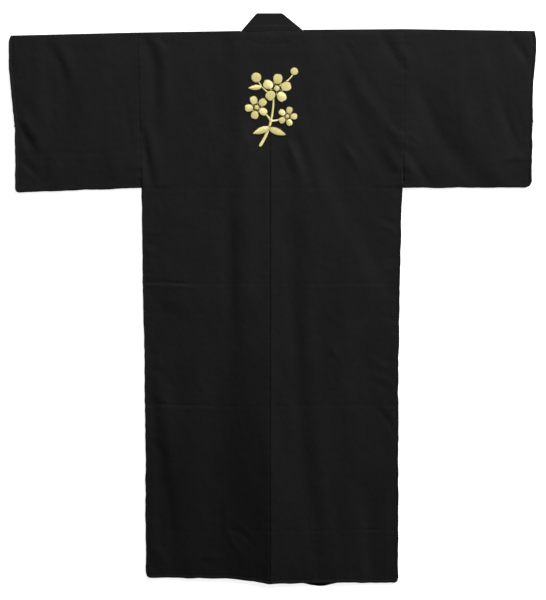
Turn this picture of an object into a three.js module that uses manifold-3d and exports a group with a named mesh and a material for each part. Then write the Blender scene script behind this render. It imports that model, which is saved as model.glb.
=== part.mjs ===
// A plain kimono laid out flat, with its back upwards and its crossed fronts underneath.
//
// Millimetres. x runs across from the centre back seam, y up from the shoulder line, and z up from the
// surface that the garment lies on. "Drop" is a distance down from the shoulder line. Left and right are
// the wearer's, so the left half is at negative x.
//
// Every cloth piece is a wall round a mid-surface. A point of the mid-surface has a facing, which is the
// way the outside of the cloth looks there, and the wall reaches half the cloth's thickness both ways along
// it. The back of a piece faces up, its front faces down, and round folds join the two.
import * as THREE from "three";
import Module from "manifold-3d";
import { mergeVertices } from "three/addons/utils/BufferGeometryUtils.js";

const { lerp, clamp, smoothstep, degToRad } = THREE.MathUtils;

// ---------- Driving sizes ----------

const clothThick = 1.2;
const bandThick = 2; // the collar, folded lengthwise and pressed
const patchThick = 1; // the crescent inside the back of the neck
const threadThick = 1; // the raised embroidery
const seamGap = 0.3; // between one piece and the next
const patchGap = 0.8; // over the crescent, which isn't sewn as tight

const sleeveDrop = 404; // from the shoulder line to the bottom of the sleeve
const hemDrop = 1420;
const frontHemShort = 6; // how much higher the hidden front hem lies than the back one
const cuffOpening = 232; // the open part of the cuff; the cuff is sewn up below it
const collarDrop = 660; // where the collar ends on the front edge
const collarSweep = 1.35; // how late the collar's seam turns inwards on its way down; 1 is straight
const bandWide = 49; // the collar's width at the neck
const bandEndWide = 55; // and at its ends
const bandTop = 46; // how far the collar stands above the shoulder line
const bandTopHalf = 33.5; // half of the collar's top edge, between its two folds
const crescentDeep = 36; // how far the crescent reaches below the neck seam
const overlapStart = 300; // the drop at which the overlap panel's tip meets the collar

const roundSteps = 4; // straight steps round a folded edge
const halfTurn = Math.PI;

// The line of the shoulders and sleeve tops.
const shoulderLine = [
  { x: -672, y: -11 },
  { x: -341, y: -3 },
  { x: -75, y: 1 },
  { x: 88, y: 4 },
  { x: 348, y: 6 },
  { x: 687, y: 1 },
];

// The line of the back hem.
const backHem = [
  { x: -330, y: -1408 },
  { x: -110, y: -1410 },
  { x: -45, y: -1417 },
  { x: -4, y: -1424 },
  { x: 60, y: -1423 },
  { x: 190, y: -1421 },
  { x: 345, y: -1422 },
];

// What differs between the halves. half: the body's width from the centre seam, along the armhole and then
// the side seam. cuff: how far out the sleeve's end lies. pastCentre: how far the front crosses over.
const halves = {
  left: {
    way: -1,
    neckHalf: 75,
    pastCentre: 185,
    body: [
      { drop: 0, half: 341 },
      { drop: sleeveDrop, half: 330 },
      { drop: 690, half: 326 },
      { drop: 1030, half: 320 },
      { drop: hemDrop, half: 319 },
    ],
    cuff: [
      { drop: 0, out: 668 },
      { drop: 12, out: 672 },
      { drop: 85, out: 672 },
      { drop: 170, out: 663 },
      { drop: cuffOpening, out: 657 },
      { drop: sleeveDrop, out: 655 },
    ],
    cuffBottom: -416,
    cornerRound: 7,
  },
  right: {
    way: 1,
    neckHalf: 88,
    pastCentre: 175,
    body: [
      { drop: 0, half: 348 },
      { drop: sleeveDrop, half: 343 },
      { drop: 490, half: 340 },
      { drop: 690, half: 336 },
      { drop: 910, half: 332 },
      { drop: hemDrop, half: 332 },
    ],
    cuff: [
      { drop: 0, out: 683 },
      { drop: 20, out: 687 },
      { drop: 50, out: 687 },
      { drop: 130, out: 679 },
      { drop: cuffOpening, out: 678 },
      { drop: sleeveDrop, out: 676 },
    ],
    cuffBottom: -403,
    cornerRound: 14,
  },
};

// The layers, counted up from the surface: the left front and its end of the collar lie on the surface, the
// right front and its end of the collar lie on those, and the back lies on them all. A layer that reaches past
// the edge of the one below comes down beside it, between these distances from the edge.
const rightFrontRise = bandThick + seamGap;
const overOneFront = clothThick + seamGap;
const frontSlope = { from: 10, to: 72 };
const backSlope = { from: 6, to: 78 };
const crossing = { from: 50, to: 150 }; // drops between which the ends of the collar come to cross
const collarZone = { past: 12, fade: 50, from: 690, to: 790 };
const patchZone = { half: 92, deep: 42, fade: 46 };

// How the back lies: lifted off the layers under it, with soft folds. The slit inside the garment stays thin.
const loft = 1.9;
const slitMost = 3.8;

// The largest folds of the back and sleeves. Each runs from (x0, y0) to (x1, y1), bent sideways by bow at its
// middle; it is about two spreads wide and rises or sinks by rise.
const folds = [
  // right shoulder, fanning out towards the underarm
  { x0: 196, y0: -90, x1: 338, y1: -296, bow: -5, spread: 17, rise: 2.0 },
  { x0: 188, y0: -105, x1: 305, y1: -365, bow: -14, spread: 20, rise: -1.9 },
  { x0: 292, y0: -5, x1: 336, y1: -95, bow: 0, spread: 16, rise: -1.5 },
  { x0: 300, y0: -302, x1: 346, y1: -372, bow: 0, spread: 15, rise: 1.3 },
  { x0: 190, y0: -290, x1: 226, y1: -354, bow: 0, spread: 15, rise: 1.1 },
  // right sleeve
  { x0: 350, y0: -130, x1: 446, y1: -395, bow: 4, spread: 19, rise: 1.9 },
  { x0: 384, y0: -135, x1: 543, y1: -394, bow: -22, spread: 22, rise: -1.9 },
  { x0: 450, y0: -130, x1: 585, y1: -392, bow: -4, spread: 34, rise: 1.2 },
  { x0: 598, y0: -178, x1: 638, y1: -304, bow: -5, spread: 16, rise: -1.5 },
  { x0: 622, y0: -12, x1: 670, y1: -84, bow: 0, spread: 15, rise: -1.3 },
  // beside and below the embroidery
  { x0: 112, y0: -30, x1: 124, y1: -400, bow: 6, spread: 34, rise: 1.1 },
  { x0: 30, y0: -250, x1: 74, y1: -366, bow: 3, spread: 14, rise: 1.3 },
  { x0: 62, y0: -252, x1: 106, y1: -396, bow: 3, spread: 15, rise: -1.5 },
  // long folds that hang from the neck
  { x0: 56, y0: -410, x1: 128, y1: -1400, bow: -20, spread: 23, rise: -1.8 },
  { x0: 95, y0: -400, x1: 164, y1: -1400, bow: -20, spread: 25, rise: 1.5 },
  { x0: -103, y0: -115, x1: -94, y1: -700, bow: -3, spread: 20, rise: -1.9 },
  { x0: -64, y0: -115, x1: -58, y1: -700, bow: 0, spread: 19, rise: 1.4 },
  { x0: -98, y0: -680, x1: -30, y1: -1180, bow: -34, spread: 24, rise: -1.8 },
  { x0: -3, y0: -860, x1: -2, y1: -1424, bow: 0, spread: 46, rise: 1.9 },
  // left shoulder and underarm
  { x0: -330, y0: -12, x1: -298, y1: -92, bow: 4, spread: 15, rise: -1.6 },
  { x0: -299, y0: -80, x1: -300, y1: -218, bow: 3, spread: 16, rise: -1.5 },
  { x0: -270, y0: -72, x1: -270, y1: -222, bow: 0, spread: 18, rise: 1.4 },
  { x0: -332, y0: -252, x1: -306, y1: -394, bow: 0, spread: 15, rise: -1.4 },
  // left sleeve
  { x0: -570, y0: -34, x1: -524, y1: -138, bow: 6, spread: 15, rise: -1.4 },
  { x0: -600, y0: -105, x1: -586, y1: -252, bow: 0, spread: 22, rise: 1.2 },
  { x0: -528, y0: -135, x1: -520, y1: -270, bow: 0, spread: 22, rise: -1.1 },
  { x0: -442, y0: -90, x1: -430, y1: -310, bow: 0, spread: 42, rise: 1.3 },
  { x0: -662, y0: -238, x1: -608, y1: -310, bow: 4, spread: 16, rise: -1.6 },
  // towards the hem
  { x0: -120, y0: -930, x1: -128, y1: -1400, bow: 0, spread: 42, rise: -1.0 },
  { x0: -316, y0: -1045, x1: -262, y1: -1290, bow: 0, spread: 22, rise: -1.6 },
  { x0: -288, y0: -1035, x1: -222, y1: -1285, bow: 0, spread: 28, rise: 1.4 },
  { x0: 256, y0: -1180, x1: 262, y1: -1420, bow: 0, spread: 21, rise: -1.2 },
];

// The embroidery lies on a flat part of the back, which the folds leave alone.
const motifCentre = { x: 4, y: -190 };
const motifFlat = { acrossHalf: 96, downHalf: 132, fade: 0.32, lift: 0.6 };

// Grid steps
const stepAcross = 26; // over the body
const sleeveStep = 30;
const stepDown = 34; // down to the bottom of the sleeves
const lowerStep = 54; // and below it
const bodyFrontDrops = [120, 170, 230, overlapStart, 350, sleeveDrop, 460, 520, 590, 660, 720, 780, 960, 1140, 1300];
const collarDrops = [0, 40, 80, 120, 170, 230, overlapStart, 380, 460, 560, collarDrop];
const overlapDrops = [380, 460, 560, collarDrop, 800, 950, 1100, 1250, 1350];

// ---------- Reading the tables ----------

// The value in column `read` where column `by` is `at`, on straight lines between rows.
function lookUp(table, by, at, read) {
  let i = 1;
  while (i < table.length - 1 && table[i][by] < at) i++;
  const [a, b] = [table[i - 1], table[i]];
  return lerp(a[read], b[read], clamp((at - a[by]) / (b[by] - a[by]), 0, 1));
}

const shoulderY = (x) => lookUp(shoulderLine, "x", x, "y");
const hemY = (x) => lookUp(backHem, "x", x, "y");
const bodyHalf = (half, drop) => lookUp(half.body, "drop", drop, "half");

// Evenly spaced numbers from a to b, no further apart than step.
function spaced(a, b, step) {
  const n = Math.max(1, Math.ceil(Math.abs(b - a) / step));
  return Array.from({ length: n + 1 }, (_, i) => lerp(a, b, i / n));
}

// ---------- Levels ----------

// The line of the seam between the front and the collar.
const collarSeamX = (half, drop) =>
  half.way * (half.neckHalf - (half.neckHalf + half.pastCentre) * (drop / collarDrop) ** collarSweep);

const overlapSeamX = (half) => collarSeamX(half, overlapStart);

// How far a point is from a fold's bowed line, and how far along it, as a share.
function besideFold(fold, x, y) {
  const [dx, dy] = [fold.x1 - fold.x0, fold.y1 - fold.y0];
  const length = Math.hypot(dx, dy);
  const share = ((x - fold.x0) * dx + (y - fold.y0) * dy) / length ** 2;
  const bowed = fold.bow * (1 - (2 * clamp(share, 0, 1) - 1) ** 2);
  const beside = ((y - fold.y0) * dx - (x - fold.x0) * dy) / length - bowed;
  const past = Math.max(0, -share, share - 1) * length;
  return { distance: Math.hypot(beside, past), share: clamp(share, 0, 1) };
}

// A fold is a bell-shaped ridge or trough that fades towards its ends.
function foldRise(fold, x, y) {
  const { distance, share } = besideFold(fold, x, y);
  const fade = 0.45 + 0.55 * Math.sin(halfTurn * share);
  return fold.rise * fade * Math.exp(-((distance / fold.spread) ** 2));
}

// 0 on the flat oval under the embroidery and 1 away from it.
function awayFromMotif(x, y) {
  const across = (x - motifCentre.x) / motifFlat.acrossHalf;
  const along = (y - motifCentre.y) / motifFlat.downHalf;
  return smoothstep(Math.hypot(across, along), 1, 1 + motifFlat.fade);
}

// How far in from the garment's edge a point of the back or a sleeve lies.
function fromEdges(x, y) {
  const half = x < 0 ? halves.left : halves.right;
  const [out, drop] = [Math.abs(x), -y];
  const onSleeve = out > bodyHalf(half, Math.min(drop, sleeveDrop));
  const fromCuff = lookUp(half.cuff, "drop", drop, "out") - out;
  return {
    shoulder: shoulderY(x) - y,
    side: drop < sleeveDrop ? fromCuff : bodyHalf(half, drop) - out,
    bottom: onSleeve ? y + sleeveDrop : y - hemY(x),
  };
}

// How far past the outermost edge of a front a point lies, counted away from that front.
function pastFront(half, x, y) {
  const drop = Math.max(0, -y);
  const band = lerp(bandWide, 1.15 * bandEndWide, Math.min(1, drop / collarDrop));
  const reach = band * (1 - smoothstep(drop, collarDrop + 20, collarDrop + 90));
  const edge = collarSeamX(half, Math.min(drop, collarDrop)) - half.way * reach;
  return -half.way * (x - edge);
}

const besideLeftFront = (x, y) => 1 - smoothstep(pastFront(halves.left, x, y), frontSlope.from, frontSlope.to);
const besideRightFront = (x, y) => 1 - smoothstep(pastFront(halves.right, x, y), backSlope.from, backSlope.to);

// The underside of the front layers.
const frontFoot = (half, x, y) => (half.way < 0 ? 0 : rightFrontRise * besideLeftFront(x, y));
const frontLevel = (half, x, y) => frontFoot(half, x, y) + clothThick / 2;

// 1 over the crossed ends of the collar and 0 away from them.
function overCollar(x, y) {
  const drop = clamp(-y, 0, collarDrop);
  const seams = [collarSeamX(halves.left, drop), collarSeamX(halves.right, drop)];
  const [low, high] = [Math.min(...seams) - bandEndWide, Math.max(...seams) + bandEndWide];
  const beside = Math.max(low - x, x - high);
  const across = 1 - smoothstep(beside, collarZone.past, collarZone.past + collarZone.fade);
  return across * (1 - smoothstep(-y, collarZone.from, collarZone.to));
}

// 1 over the crescent inside the neck.
function overPatch(x, y) {
  const { half, deep, fade } = patchZone;
  const middle = (halves.right.neckHalf - halves.left.neckHalf) / 2;
  return (1 - smoothstep(Math.abs(x - middle), half, half + fade)) * (1 - smoothstep(-y, deep, deep + fade));
}

// The top of what lies under the back, with the seam gap.
function underBack(x, y) {
  const below = smoothstep(-y, crossing.from, crossing.to);
  const crossed = below * rightFrontRise * besideLeftFront(x, y) * besideRightFront(x, y);
  const band = (bandThick - clothThick) * overCollar(x, y);
  return overOneFront + crossed + band + (patchThick + patchGap) * overPatch(x, y);
}

// How high the back's underside lies above the layers under it.
function backLift(x, y) {
  const edge = fromEdges(x, y);
  const settled =
    lerp(0.55, 1, smoothstep(edge.shoulder, 0, 30)) *
    smoothstep(edge.side, 0, 34) *
    lerp(0.15, 1, smoothstep(edge.bottom, 0, 45));
  const folded = folds.reduce((sum, fold) => sum + foldRise(fold, x, y), 0);
  const step = besideRightFront(x, y) * smoothstep(pastFront(halves.right, x, y), -40, 0);
  return settled * clamp(loft + folded, 0, slitMost - rightFrontRise * step);
}

// The middle of the back's cloth.
function backLevel(x, y) {
  const flat = rightFrontRise + bandThick + seamGap + motifFlat.lift;
  return lerp(flat, underBack(x, y) + backLift(x, y), awayFromMotif(x, y)) + clothThick / 2;
}

// ---------- Sheets and walls ----------

const up = new THREE.Vector3(0, 0, 1);
const down = new THREE.Vector3(0, 0, -1);
const at = (x, y, z) => new THREE.Vector3(x, y, z);

// A mid-surface: points with their facings, joined by triangles. Patches that share a point are joined there.
class Sheet {
  points = [];
  facings = [];
  triangles = [];
  numbers = new Map();

  point(place, facing) {
    const key = place.toArray().map((v) => Math.round(v * 1000)).join();
    if (!this.numbers.has(key)) {
      this.numbers.set(key, this.points.length);
      this.points.push(place);
      this.facings.push(facing.clone());
    }
    return this.numbers.get(key);
  }

  // A triangle is turned, if it has to be, so that it looks the way its points do.
  triangle(a, b, c) {
    if (a === b || b === c || c === a) return;
    const [p, q, r] = [a, b, c].map((i) => this.points[i]);
    const normal = q.clone().sub(p).cross(r.clone().sub(p));
    const facing = this.facings[a].clone().add(this.facings[b]).add(this.facings[c]);
    this.triangles.push(normal.dot(facing) < 0 ? [a, c, b] : [a, b, c]);
  }

  // Rows of points, with as many in each row.
  patch(rows) {
    for (let i = 1; i < rows.length; i++)
      for (let j = 1; j < rows[i].length; j++) {
        this.triangle(rows[i - 1][j - 1], rows[i - 1][j], rows[i][j]);
        this.triangle(rows[i - 1][j - 1], rows[i][j], rows[i][j - 1]);
      }
  }

  // Joins two lines of points, which may have different numbers of them.
  join(near, far) {
    const apart = (a, b) => this.points[a].distanceTo(this.points[b]);
    let [i, j] = [0, 0];
    while (i < near.length - 1 || j < far.length - 1) {
      const farDone = j === far.length - 1;
      const nearDone = i === near.length - 1;
      if (farDone || (!nearDone && apart(near[i + 1], far[j]) <= apart(near[i], far[j + 1]))) {
        this.triangle(near[i], near[i + 1], far[j]);
        i++;
      } else {
        this.triangle(near[i], far[j], far[j + 1]);
        j++;
      }
    }
  }

  // A folded edge: half a round from each upper place to the lower place under it, bulging along `out`.
  // Returns the lines of points round the fold, the first along the top and the last along the bottom.
  roundEdge(tops) {
    const lines = Array.from({ length: roundSteps + 1 }, (_, k) => {
      const angle = halfTurn * (0.5 - k / roundSteps);
      return tops.map(({ top, bottom, out }) => {
        const middle = top.clone().lerp(bottom, k / roundSteps);
        middle.z = (top.z + bottom.z) / 2;
        const radius = (top.z - bottom.z) / 2;
        const facing = out.clone().multiplyScalar(Math.cos(angle)).addScaledVector(up, Math.sin(angle));
        return this.point(middle.addScaledVector(facing, radius), facing);
      });
    });
    this.patch(lines);
    return lines;
  }

  // The closed solid that reaches half of `thick` to each side of the mid-surface.
  wall(thick) {
    const count = this.points.length;
    const moved = (by) => this.points.flatMap((p, i) => p.clone().addScaledVector(this.facings[i], by).toArray());
    const faces = this.triangles.flatMap(([a, b, c]) => [a, b, c, a + count, c + count, b + count]);
    const edges = new Set(this.triangles.flatMap(([a, b, c]) => [`${a},${b}`, `${b},${c}`, `${c},${a}`]));
    for (const edge of edges) {
      const [a, b] = edge.split(",").map(Number);
      if (!edges.has(`${b},${a}`)) faces.push(b, a, a + count, b, a + count, b + count);
    }
    const geometry = new THREE.BufferGeometry();
    const places = [...moved(thick / 2), ...moved(-thick / 2)];
    geometry.setAttribute("position", new THREE.Float32BufferAttribute(places, 3));
    return geometry.setIndex(faces);
  }
}

// ---------- The body ----------

// Half the height of a folded edge at a place on the back's outline, over a front of that half.
const edgeRadius = (half, x, y) => (backLevel(x, y) - frontLevel(half, x, y)) / 2;

// Where the back's flat part ends below the shoulder fold.
const foldStartY = (half, x) => shoulderY(x) - edgeRadius(half, x, shoulderY(x)) - clothThick / 2;

// The back's neck edge, straight between the two folds.
function neckEdgeY(x) {
  const ends = Object.values(halves).map((half) => {
    const end = half.way * half.neckHalf;
    return { x: end, y: foldStartY(half, end) };
  });
  return lookUp(ends, "x", x, "y");
}

// A body panel is one strip of cloth: up the back, over the shoulder and down the front, sewn to itself along
// the side below the sleeve.
function bodyPanel(half) {
  const sheet = new Sheet();
  const underarm = -sleeveDrop;

  // Down the back: the strip between the centre seam and the neck's side, then the rest out to the edge.
  const drops = [...spaced(0, sleeveDrop, stepDown), ...spaced(sleeveDrop, hemDrop, lowerStep).slice(1)];
  const neckShares = spaced(seamGap / 2, half.neckHalf, stepAcross);
  const restShares = spaced(0, 1, stepAcross / (bodyHalf(half, 0) - half.neckHalf));
  const lastColumn = neckShares.length + restShares.length - 2;

  const backPlace = (drop, column) => {
    const reach = restShares[column - neckShares.length + 1];
    const edge = bodyHalf(half, drop);
    const inset = drop < sleeveDrop ? 0 : edgeRadius(half, half.way * edge, -drop) + clothThick / 2;
    const out = column < neckShares.length ? neckShares[column] : lerp(half.neckHalf, edge - inset, reach);
    const x = half.way * out;
    const [top, bottom] = [out < half.neckHalf ? neckEdgeY(x) : foldStartY(half, x), hemY(x)];
    const y =
      drop < sleeveDrop
        ? lerp(top, underarm, drop / sleeveDrop)
        : lerp(underarm, bottom, (drop - sleeveDrop) / (hemDrop - sleeveDrop));
    return at(x, y, backLevel(x, drop === 0 ? shoulderY(x) : y));
  };
  const columns = Array.from({ length: lastColumn + 1 }, (_, column) => column);
  const back = drops.map((drop) => columns.map((column) => sheet.point(backPlace(drop, column), up)));
  sheet.patch(back);

  // Over the shoulder, from the neck's side to the armhole.
  const shoulderColumns = columns.slice(neckShares.length - 1);
  const overShoulder = shoulderColumns.map((column) => {
    const top = backPlace(0, column);
    return { top, bottom: at(top.x, top.y, frontLevel(half, top.x, top.y)), out: at(0, 1, 0) };
  });
  const shoulderEnd = sheet.roundEdge(overShoulder).at(-1);

  // Round the side seam.
  const sideDrops = drops.filter((drop) => drop >= sleeveDrop);
  const roundSide = sideDrops.map((drop) => {
    const top = backPlace(drop, lastColumn);
    const y = drop === hemDrop ? top.y + frontHemShort : top.y;
    return { top, bottom: at(top.x, y, frontLevel(half, top.x, y)), out: at(half.way, 0, 0) };
  });
  const sideEnd = sheet.roundEdge(roundSide).at(-1);

  // Down the front, from the collar and overlap seams out to the armhole and the side fold.
  const frontRow = (drop) =>
    restShares.map((share) => {
      const seam = drop < overlapStart ? collarSeamX(half, drop) : overlapSeamX(half);
      const edge = half.way * bodyHalf(half, drop);
      const inset = drop < sleeveDrop ? 0 : clothThick;
      const x = lerp(seam + (half.way * seamGap) / 2, edge - half.way * inset, share);
      const y = drop < hemDrop ? -drop : hemY(x) + frontHemShort;
      return sheet.point(at(x, y, frontLevel(half, x, y)), down);
    });
  const upper = bodyFrontDrops.filter((drop) => drop < sleeveDrop);
  const lower = [...bodyFrontDrops.filter((drop) => drop >= sleeveDrop), hemDrop];
  const firstRows = collarDrops.filter((drop) => drop > 0 && drop < upper[0]);
  const upperRows = [shoulderEnd, ...[...firstRows, ...upper].map(frontRow)];
  const innerRows = lower.map((drop) => frontRow(drop).slice(0, -1));
  const underarmRow = [...innerRows[0], sideEnd[0]];
  sheet.patch([...upperRows, underarmRow]);
  sheet.patch(innerRows);
  sheet.join(innerRows.map((row) => row.at(-1)), sideEnd);
  return sheet.wall(clothThick);
}

// ---------- The overlap panels ----------

// The tapered strip on each front edge: its tip meets the collar, and its hem dips a little past the back's
// on the left.
const overlapDip = { x: 130, spread: 42, deep: 11 };

function overlapPanel(half) {
  const sheet = new Sheet();
  const seam = overlapSeamX(half) - (half.way * seamGap) / 2;
  const edge = -half.way * (half.pastCentre - seamGap);
  const firstDrop = overlapStart + 8;
  const shares = spaced(0, 1, 1 / 5);
  const rows = [firstDrop, ...overlapDrops, hemDrop].map((drop) => {
    const collarSide = collarSeamOn(half, drop) + half.way * seamGap;
    const frontEdge = drop < collarDrop ? collarSide : edge;
    return shares.map((share) => {
      const x = lerp(seam, frontEdge, share);
      const dip = half.way < 0 ? overlapDip.deep * Math.exp(-(((x - overlapDip.x) / overlapDip.spread) ** 2)) : 0;
      const y = drop < hemDrop ? -drop : hemY(x) + frontHemShort / 2 - dip;
      return sheet.point(at(x, y, frontLevel(half, x, y)), down);
    });
  });
  sheet.patch(rows);
  return sheet.wall(clothThick);
}

// The collar's seam as the pieces have it: straight from each of its drops to the next.
function collarSeamOn(half, drop) {
  const line = collarDrops.map((d) => ({ drop: d, x: collarSeamX(half, d) }));
  return lookUp(line, "drop", drop, "x");
}

// ---------- The sleeves ----------

// A sleeve is a strip folded at the shoulder line and sewn along the bottom and up the cuff to its opening.
function sleeve(half) {
  const sheet = new Sheet();
  const long = half.cuff.at(-1).out - bodyHalf(half, sleeveDrop);
  const outShares = [...spaced(0, 1, sleeveStep / long).slice(0, -1), 1 - half.cornerRound / long, 1];
  const opening = cuffOpening / sleeveDrop;
  const downShares = [
    ...spaced(0, opening, stepDown / sleeveDrop),
    ...spaced(opening, 1, stepDown / sleeveDrop).slice(1, -1),
    1 - half.cornerRound / sleeveDrop,
    1,
  ];
  const [lastOut, lastDown] = [outShares.length - 1, downShares.length - 1];

  const place = (i, j) => {
    const [out, drop] = [outShares[i], downShares[j] * sleeveDrop];
    const corner = i === lastOut && j === lastDown ? half.cornerRound * (1 - Math.SQRT1_2) : 0;
    const sewn = i === lastOut && drop >= cuffOpening ? overOneFront / 2 + clothThick / 2 : 0;
    const cuff = lookUp(half.cuff, "drop", drop, "out") - corner - sewn;
    const x = half.way * lerp(bodyHalf(half, drop) + seamGap, cuff, out);
    const bottom = lerp(-sleeveDrop, half.cuffBottom, out) + corner;
    const top = foldStartY(half, x);
    const y = lerp(top, bottom + edgeRadius(half, x, bottom) + clothThick / 2, downShares[j]);
    return at(x, y, backLevel(x, j === 0 ? shoulderY(x) : y));
  };

  const places = downShares.map((_, j) => outShares.map((_, i) => place(i, j)));
  const under = (p) => at(p.x, p.y, clothThick / 2);
  sheet.patch(places.map((row) => row.map((p) => sheet.point(p, up))));
  sheet.patch(places.map((row) => row.map((p) => sheet.point(under(p), down))));
  sheet.roundEdge(places[0].map((top) => ({ top, bottom: under(top), out: at(0, 1, 0) })));

  // Along the bottom, round the corner and up the cuff: the fold looks out across its own line.
  const upCuff = downShares.map((_, j) => j).filter((j) => j < lastDown && downShares[j] >= opening);
  const line = [...places[lastDown], ...upCuff.reverse().map((j) => places[j][lastOut])];
  const sewnEdge = line.map((top, k) => {
    const along = line[Math.min(k + 1, line.length - 1)].clone().sub(line[Math.max(k - 1, 0)]);
    const out = at(along.y, -along.x, 0).multiplyScalar(half.way).normalize();
    return { top, bottom: under(top), out };
  });
  sheet.roundEdge(sewnEdge);
  return sheet.wall(clothThick);
}

// ---------- The collar ----------

// A station across the band: its seam edge, its free edge and its facing.
const bandShares = [0, 1 / 3, 2 / 3, 1];

// The band's stations down one front, from the fold at the neck to its end.
function collarLeg(half, foldSeam, foldFree) {
  const stations = collarDrops.slice(1).map((drop) => ({ drop, seam: at(collarSeamX(half, drop), -drop, 0) }));
  const start = { drop: 0, seam: foldSeam };
  return [start, ...stations].map(({ drop, seam }, i, all) => {
    const before = all[Math.max(i - 1, 0)].seam;
    const after = all[Math.min(i + 1, all.length - 1)].seam;
    const along = after.clone().sub(before).normalize();
    const wide = lerp(bandWide, bandEndWide, drop / collarDrop);
    const across = at(along.y, -along.x, 0).multiplyScalar(half.way * wide);
    const square = seam.clone().add(across);
    const slant = smoothstep(drop, 0, 3 * bandWide);
    const free = foldFree.clone().add(at(0, -drop, 0)).lerp(square, slant);
    return { seam, free };
  });
}

function collar() {
  const sheet = new Sheet();
  const middleX = (halves.right.neckHalf - halves.left.neckHalf) / 2;
  const bandZ = backLevel(middleX, neckEdgeY(middleX)) + (bandThick - clothThick) / 4;
  const legZ = (half, p) => frontFoot(half, p.x, p.y) + bandThick / 2;

  // The two slanting folds at the sides of the neck, drawn in from the outline by the fold's own radius.
  const inward = bandZ / 2 + bandThick / 4;
  const fold = (half) => {
    const low = at(half.way * half.neckHalf, neckEdgeY(half.way * half.neckHalf) + seamGap, 0);
    const high = at(half.way * bandTopHalf, bandTop, 0);
    const along = high.clone().sub(low).normalize();
    const out = at(along.y, -along.x, 0).multiplyScalar(half.way);
    const move = at(-inward / out.x, 0, 0);
    return { seam: low.add(move), free: high.add(move), out };
  };

  const points = (seam, free, level, facing) =>
    bandShares.map((share) => {
      const p = seam.clone().lerp(free, share);
      p.z = level(p);
      return sheet.point(p, facing);
    });

  const ends = Object.fromEntries(Object.entries(halves).map(([name, half]) => [name, fold(half)]));
  const backShares = spaced(0, 1, 1 / 6);
  sheet.patch(
    backShares.map((share) => {
      const seam = ends.left.seam.clone().lerp(ends.right.seam, share);
      const free = ends.left.free.clone().lerp(ends.right.free, share);
      return points(seam, free, () => bandZ, up);
    }),
  );
  for (const [name, half] of Object.entries(halves)) {
    const { seam, free, out } = ends[name];
    const tops = bandShares.map((share) => {
      const top = seam.clone().lerp(free, share).setZ(bandZ);
      return { top, bottom: top.clone().setZ(legZ(half, top)), out };
    });
    sheet.roundEdge(tops);
    const leg = collarLeg(half, seam, free);
    sheet.patch(leg.map((station) => points(station.seam, station.free, (p) => legZ(half, p), down)));
  }
  return sheet.wall(bandThick);
}

// ---------- The crescent inside the neck ----------

function neckCrescent() {
  const sheet = new Sheet();
  const inset = 8;
  const [from, to] = [-halves.left.neckHalf + inset, halves.right.neckHalf - inset];
  const rows = spaced(from, to, 14).map((x) => {
    const share = (2 * (x - from)) / (to - from) - 1;
    const top = neckEdgeY(x) - seamGap;
    const deep = lerp(4, crescentDeep, Math.sqrt(1 - share ** 2));
    const below = (clothThick + patchThick) / 2 + patchGap;
    return [top, top - deep / 2, top - deep].map((y) => sheet.point(at(x, y, backLevel(x, y) - below), up));
  });
  sheet.patch(rows);
  return sheet.wall(patchThick);
}

// ---------- The embroidery ----------

// Plum blossoms on a bent twig. Places are from the motif's centre.
const blossoms = [
  { x: 15, y: 42, radius: 38, turn: 12 },
  { x: -37, y: -7, radius: 31, turn: 40 },
  { x: 42, y: -30, radius: 26, turn: 0 },
];
const buds = [
  { x: -38, y: 70, radius: 13 },
  { x: 60, y: 86, radius: 10 },
];
const leaves = [
  { x: 1, y: -57, length: 52, wide: 18, turn: 200 },
  { x: -9, y: -59, length: 52, wide: 18, turn: -22 },
  { x: -22, y: 46, length: 38, wide: 14, turn: 185 },
];
const twigs = [
  { from: { x: -30, y: -108 }, bend: { x: 7, y: -55 }, to: { x: 6, y: 22 }, wide: 8 },
  { from: { x: -1, y: -42 }, bend: { x: 16, y: -42 }, to: { x: 38, y: -33 }, wide: 6 },
  { from: { x: -1, y: -42 }, bend: { x: -12, y: -22 }, to: { x: -33, y: -9 }, wide: 6 },
  { from: { x: 6, y: 22 }, bend: { x: -24, y: 38 }, to: { x: -38, y: 70 }, wide: 5 },
  { from: { x: 22, y: 48 }, bend: { x: 50, y: 62 }, to: { x: 60, y: 86 }, wide: 5 },
];
const petalSides = 12;

function discShape(x, y, radius, sides = petalSides) {
  const rim = Array.from({ length: sides }, (_, k) => {
    const angle = (2 * halfTurn * k) / sides;
    return new THREE.Vector2(x + radius * Math.cos(angle), y + radius * Math.sin(angle));
  });
  return new THREE.Shape(rim);
}

// Five round petals about a small heart, with a thin gap between neighbours.
function blossomShapes({ x, y, radius, turn }) {
  const petals = Array.from({ length: 5 }, (_, k) => {
    const angle = degToRad(turn + 72 * k);
    return discShape(x + 0.62 * radius * Math.cos(angle), y + 0.62 * radius * Math.sin(angle), 0.345 * radius);
  });
  return [discShape(x, y, 0.33 * radius), ...petals];
}

// A leaf with pointed ends, drawn out from its stalk.
function leafShape({ x, y, length, wide, turn }) {
  const along = new THREE.Vector2(length, 0).rotateAround(new THREE.Vector2(), degToRad(turn));
  const aside = along.clone().rotateAround(new THREE.Vector2(), halfTurn / 2).setLength(wide);
  const shape = new THREE.Shape().moveTo(x, y);
  shape.quadraticCurveTo(x + along.x * 0.4 + aside.x, y + along.y * 0.4 + aside.y, x + along.x, y + along.y);
  shape.quadraticCurveTo(x + along.x * 0.4 - aside.x, y + along.y * 0.4 - aside.y, x, y);
  return shape;
}

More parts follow.
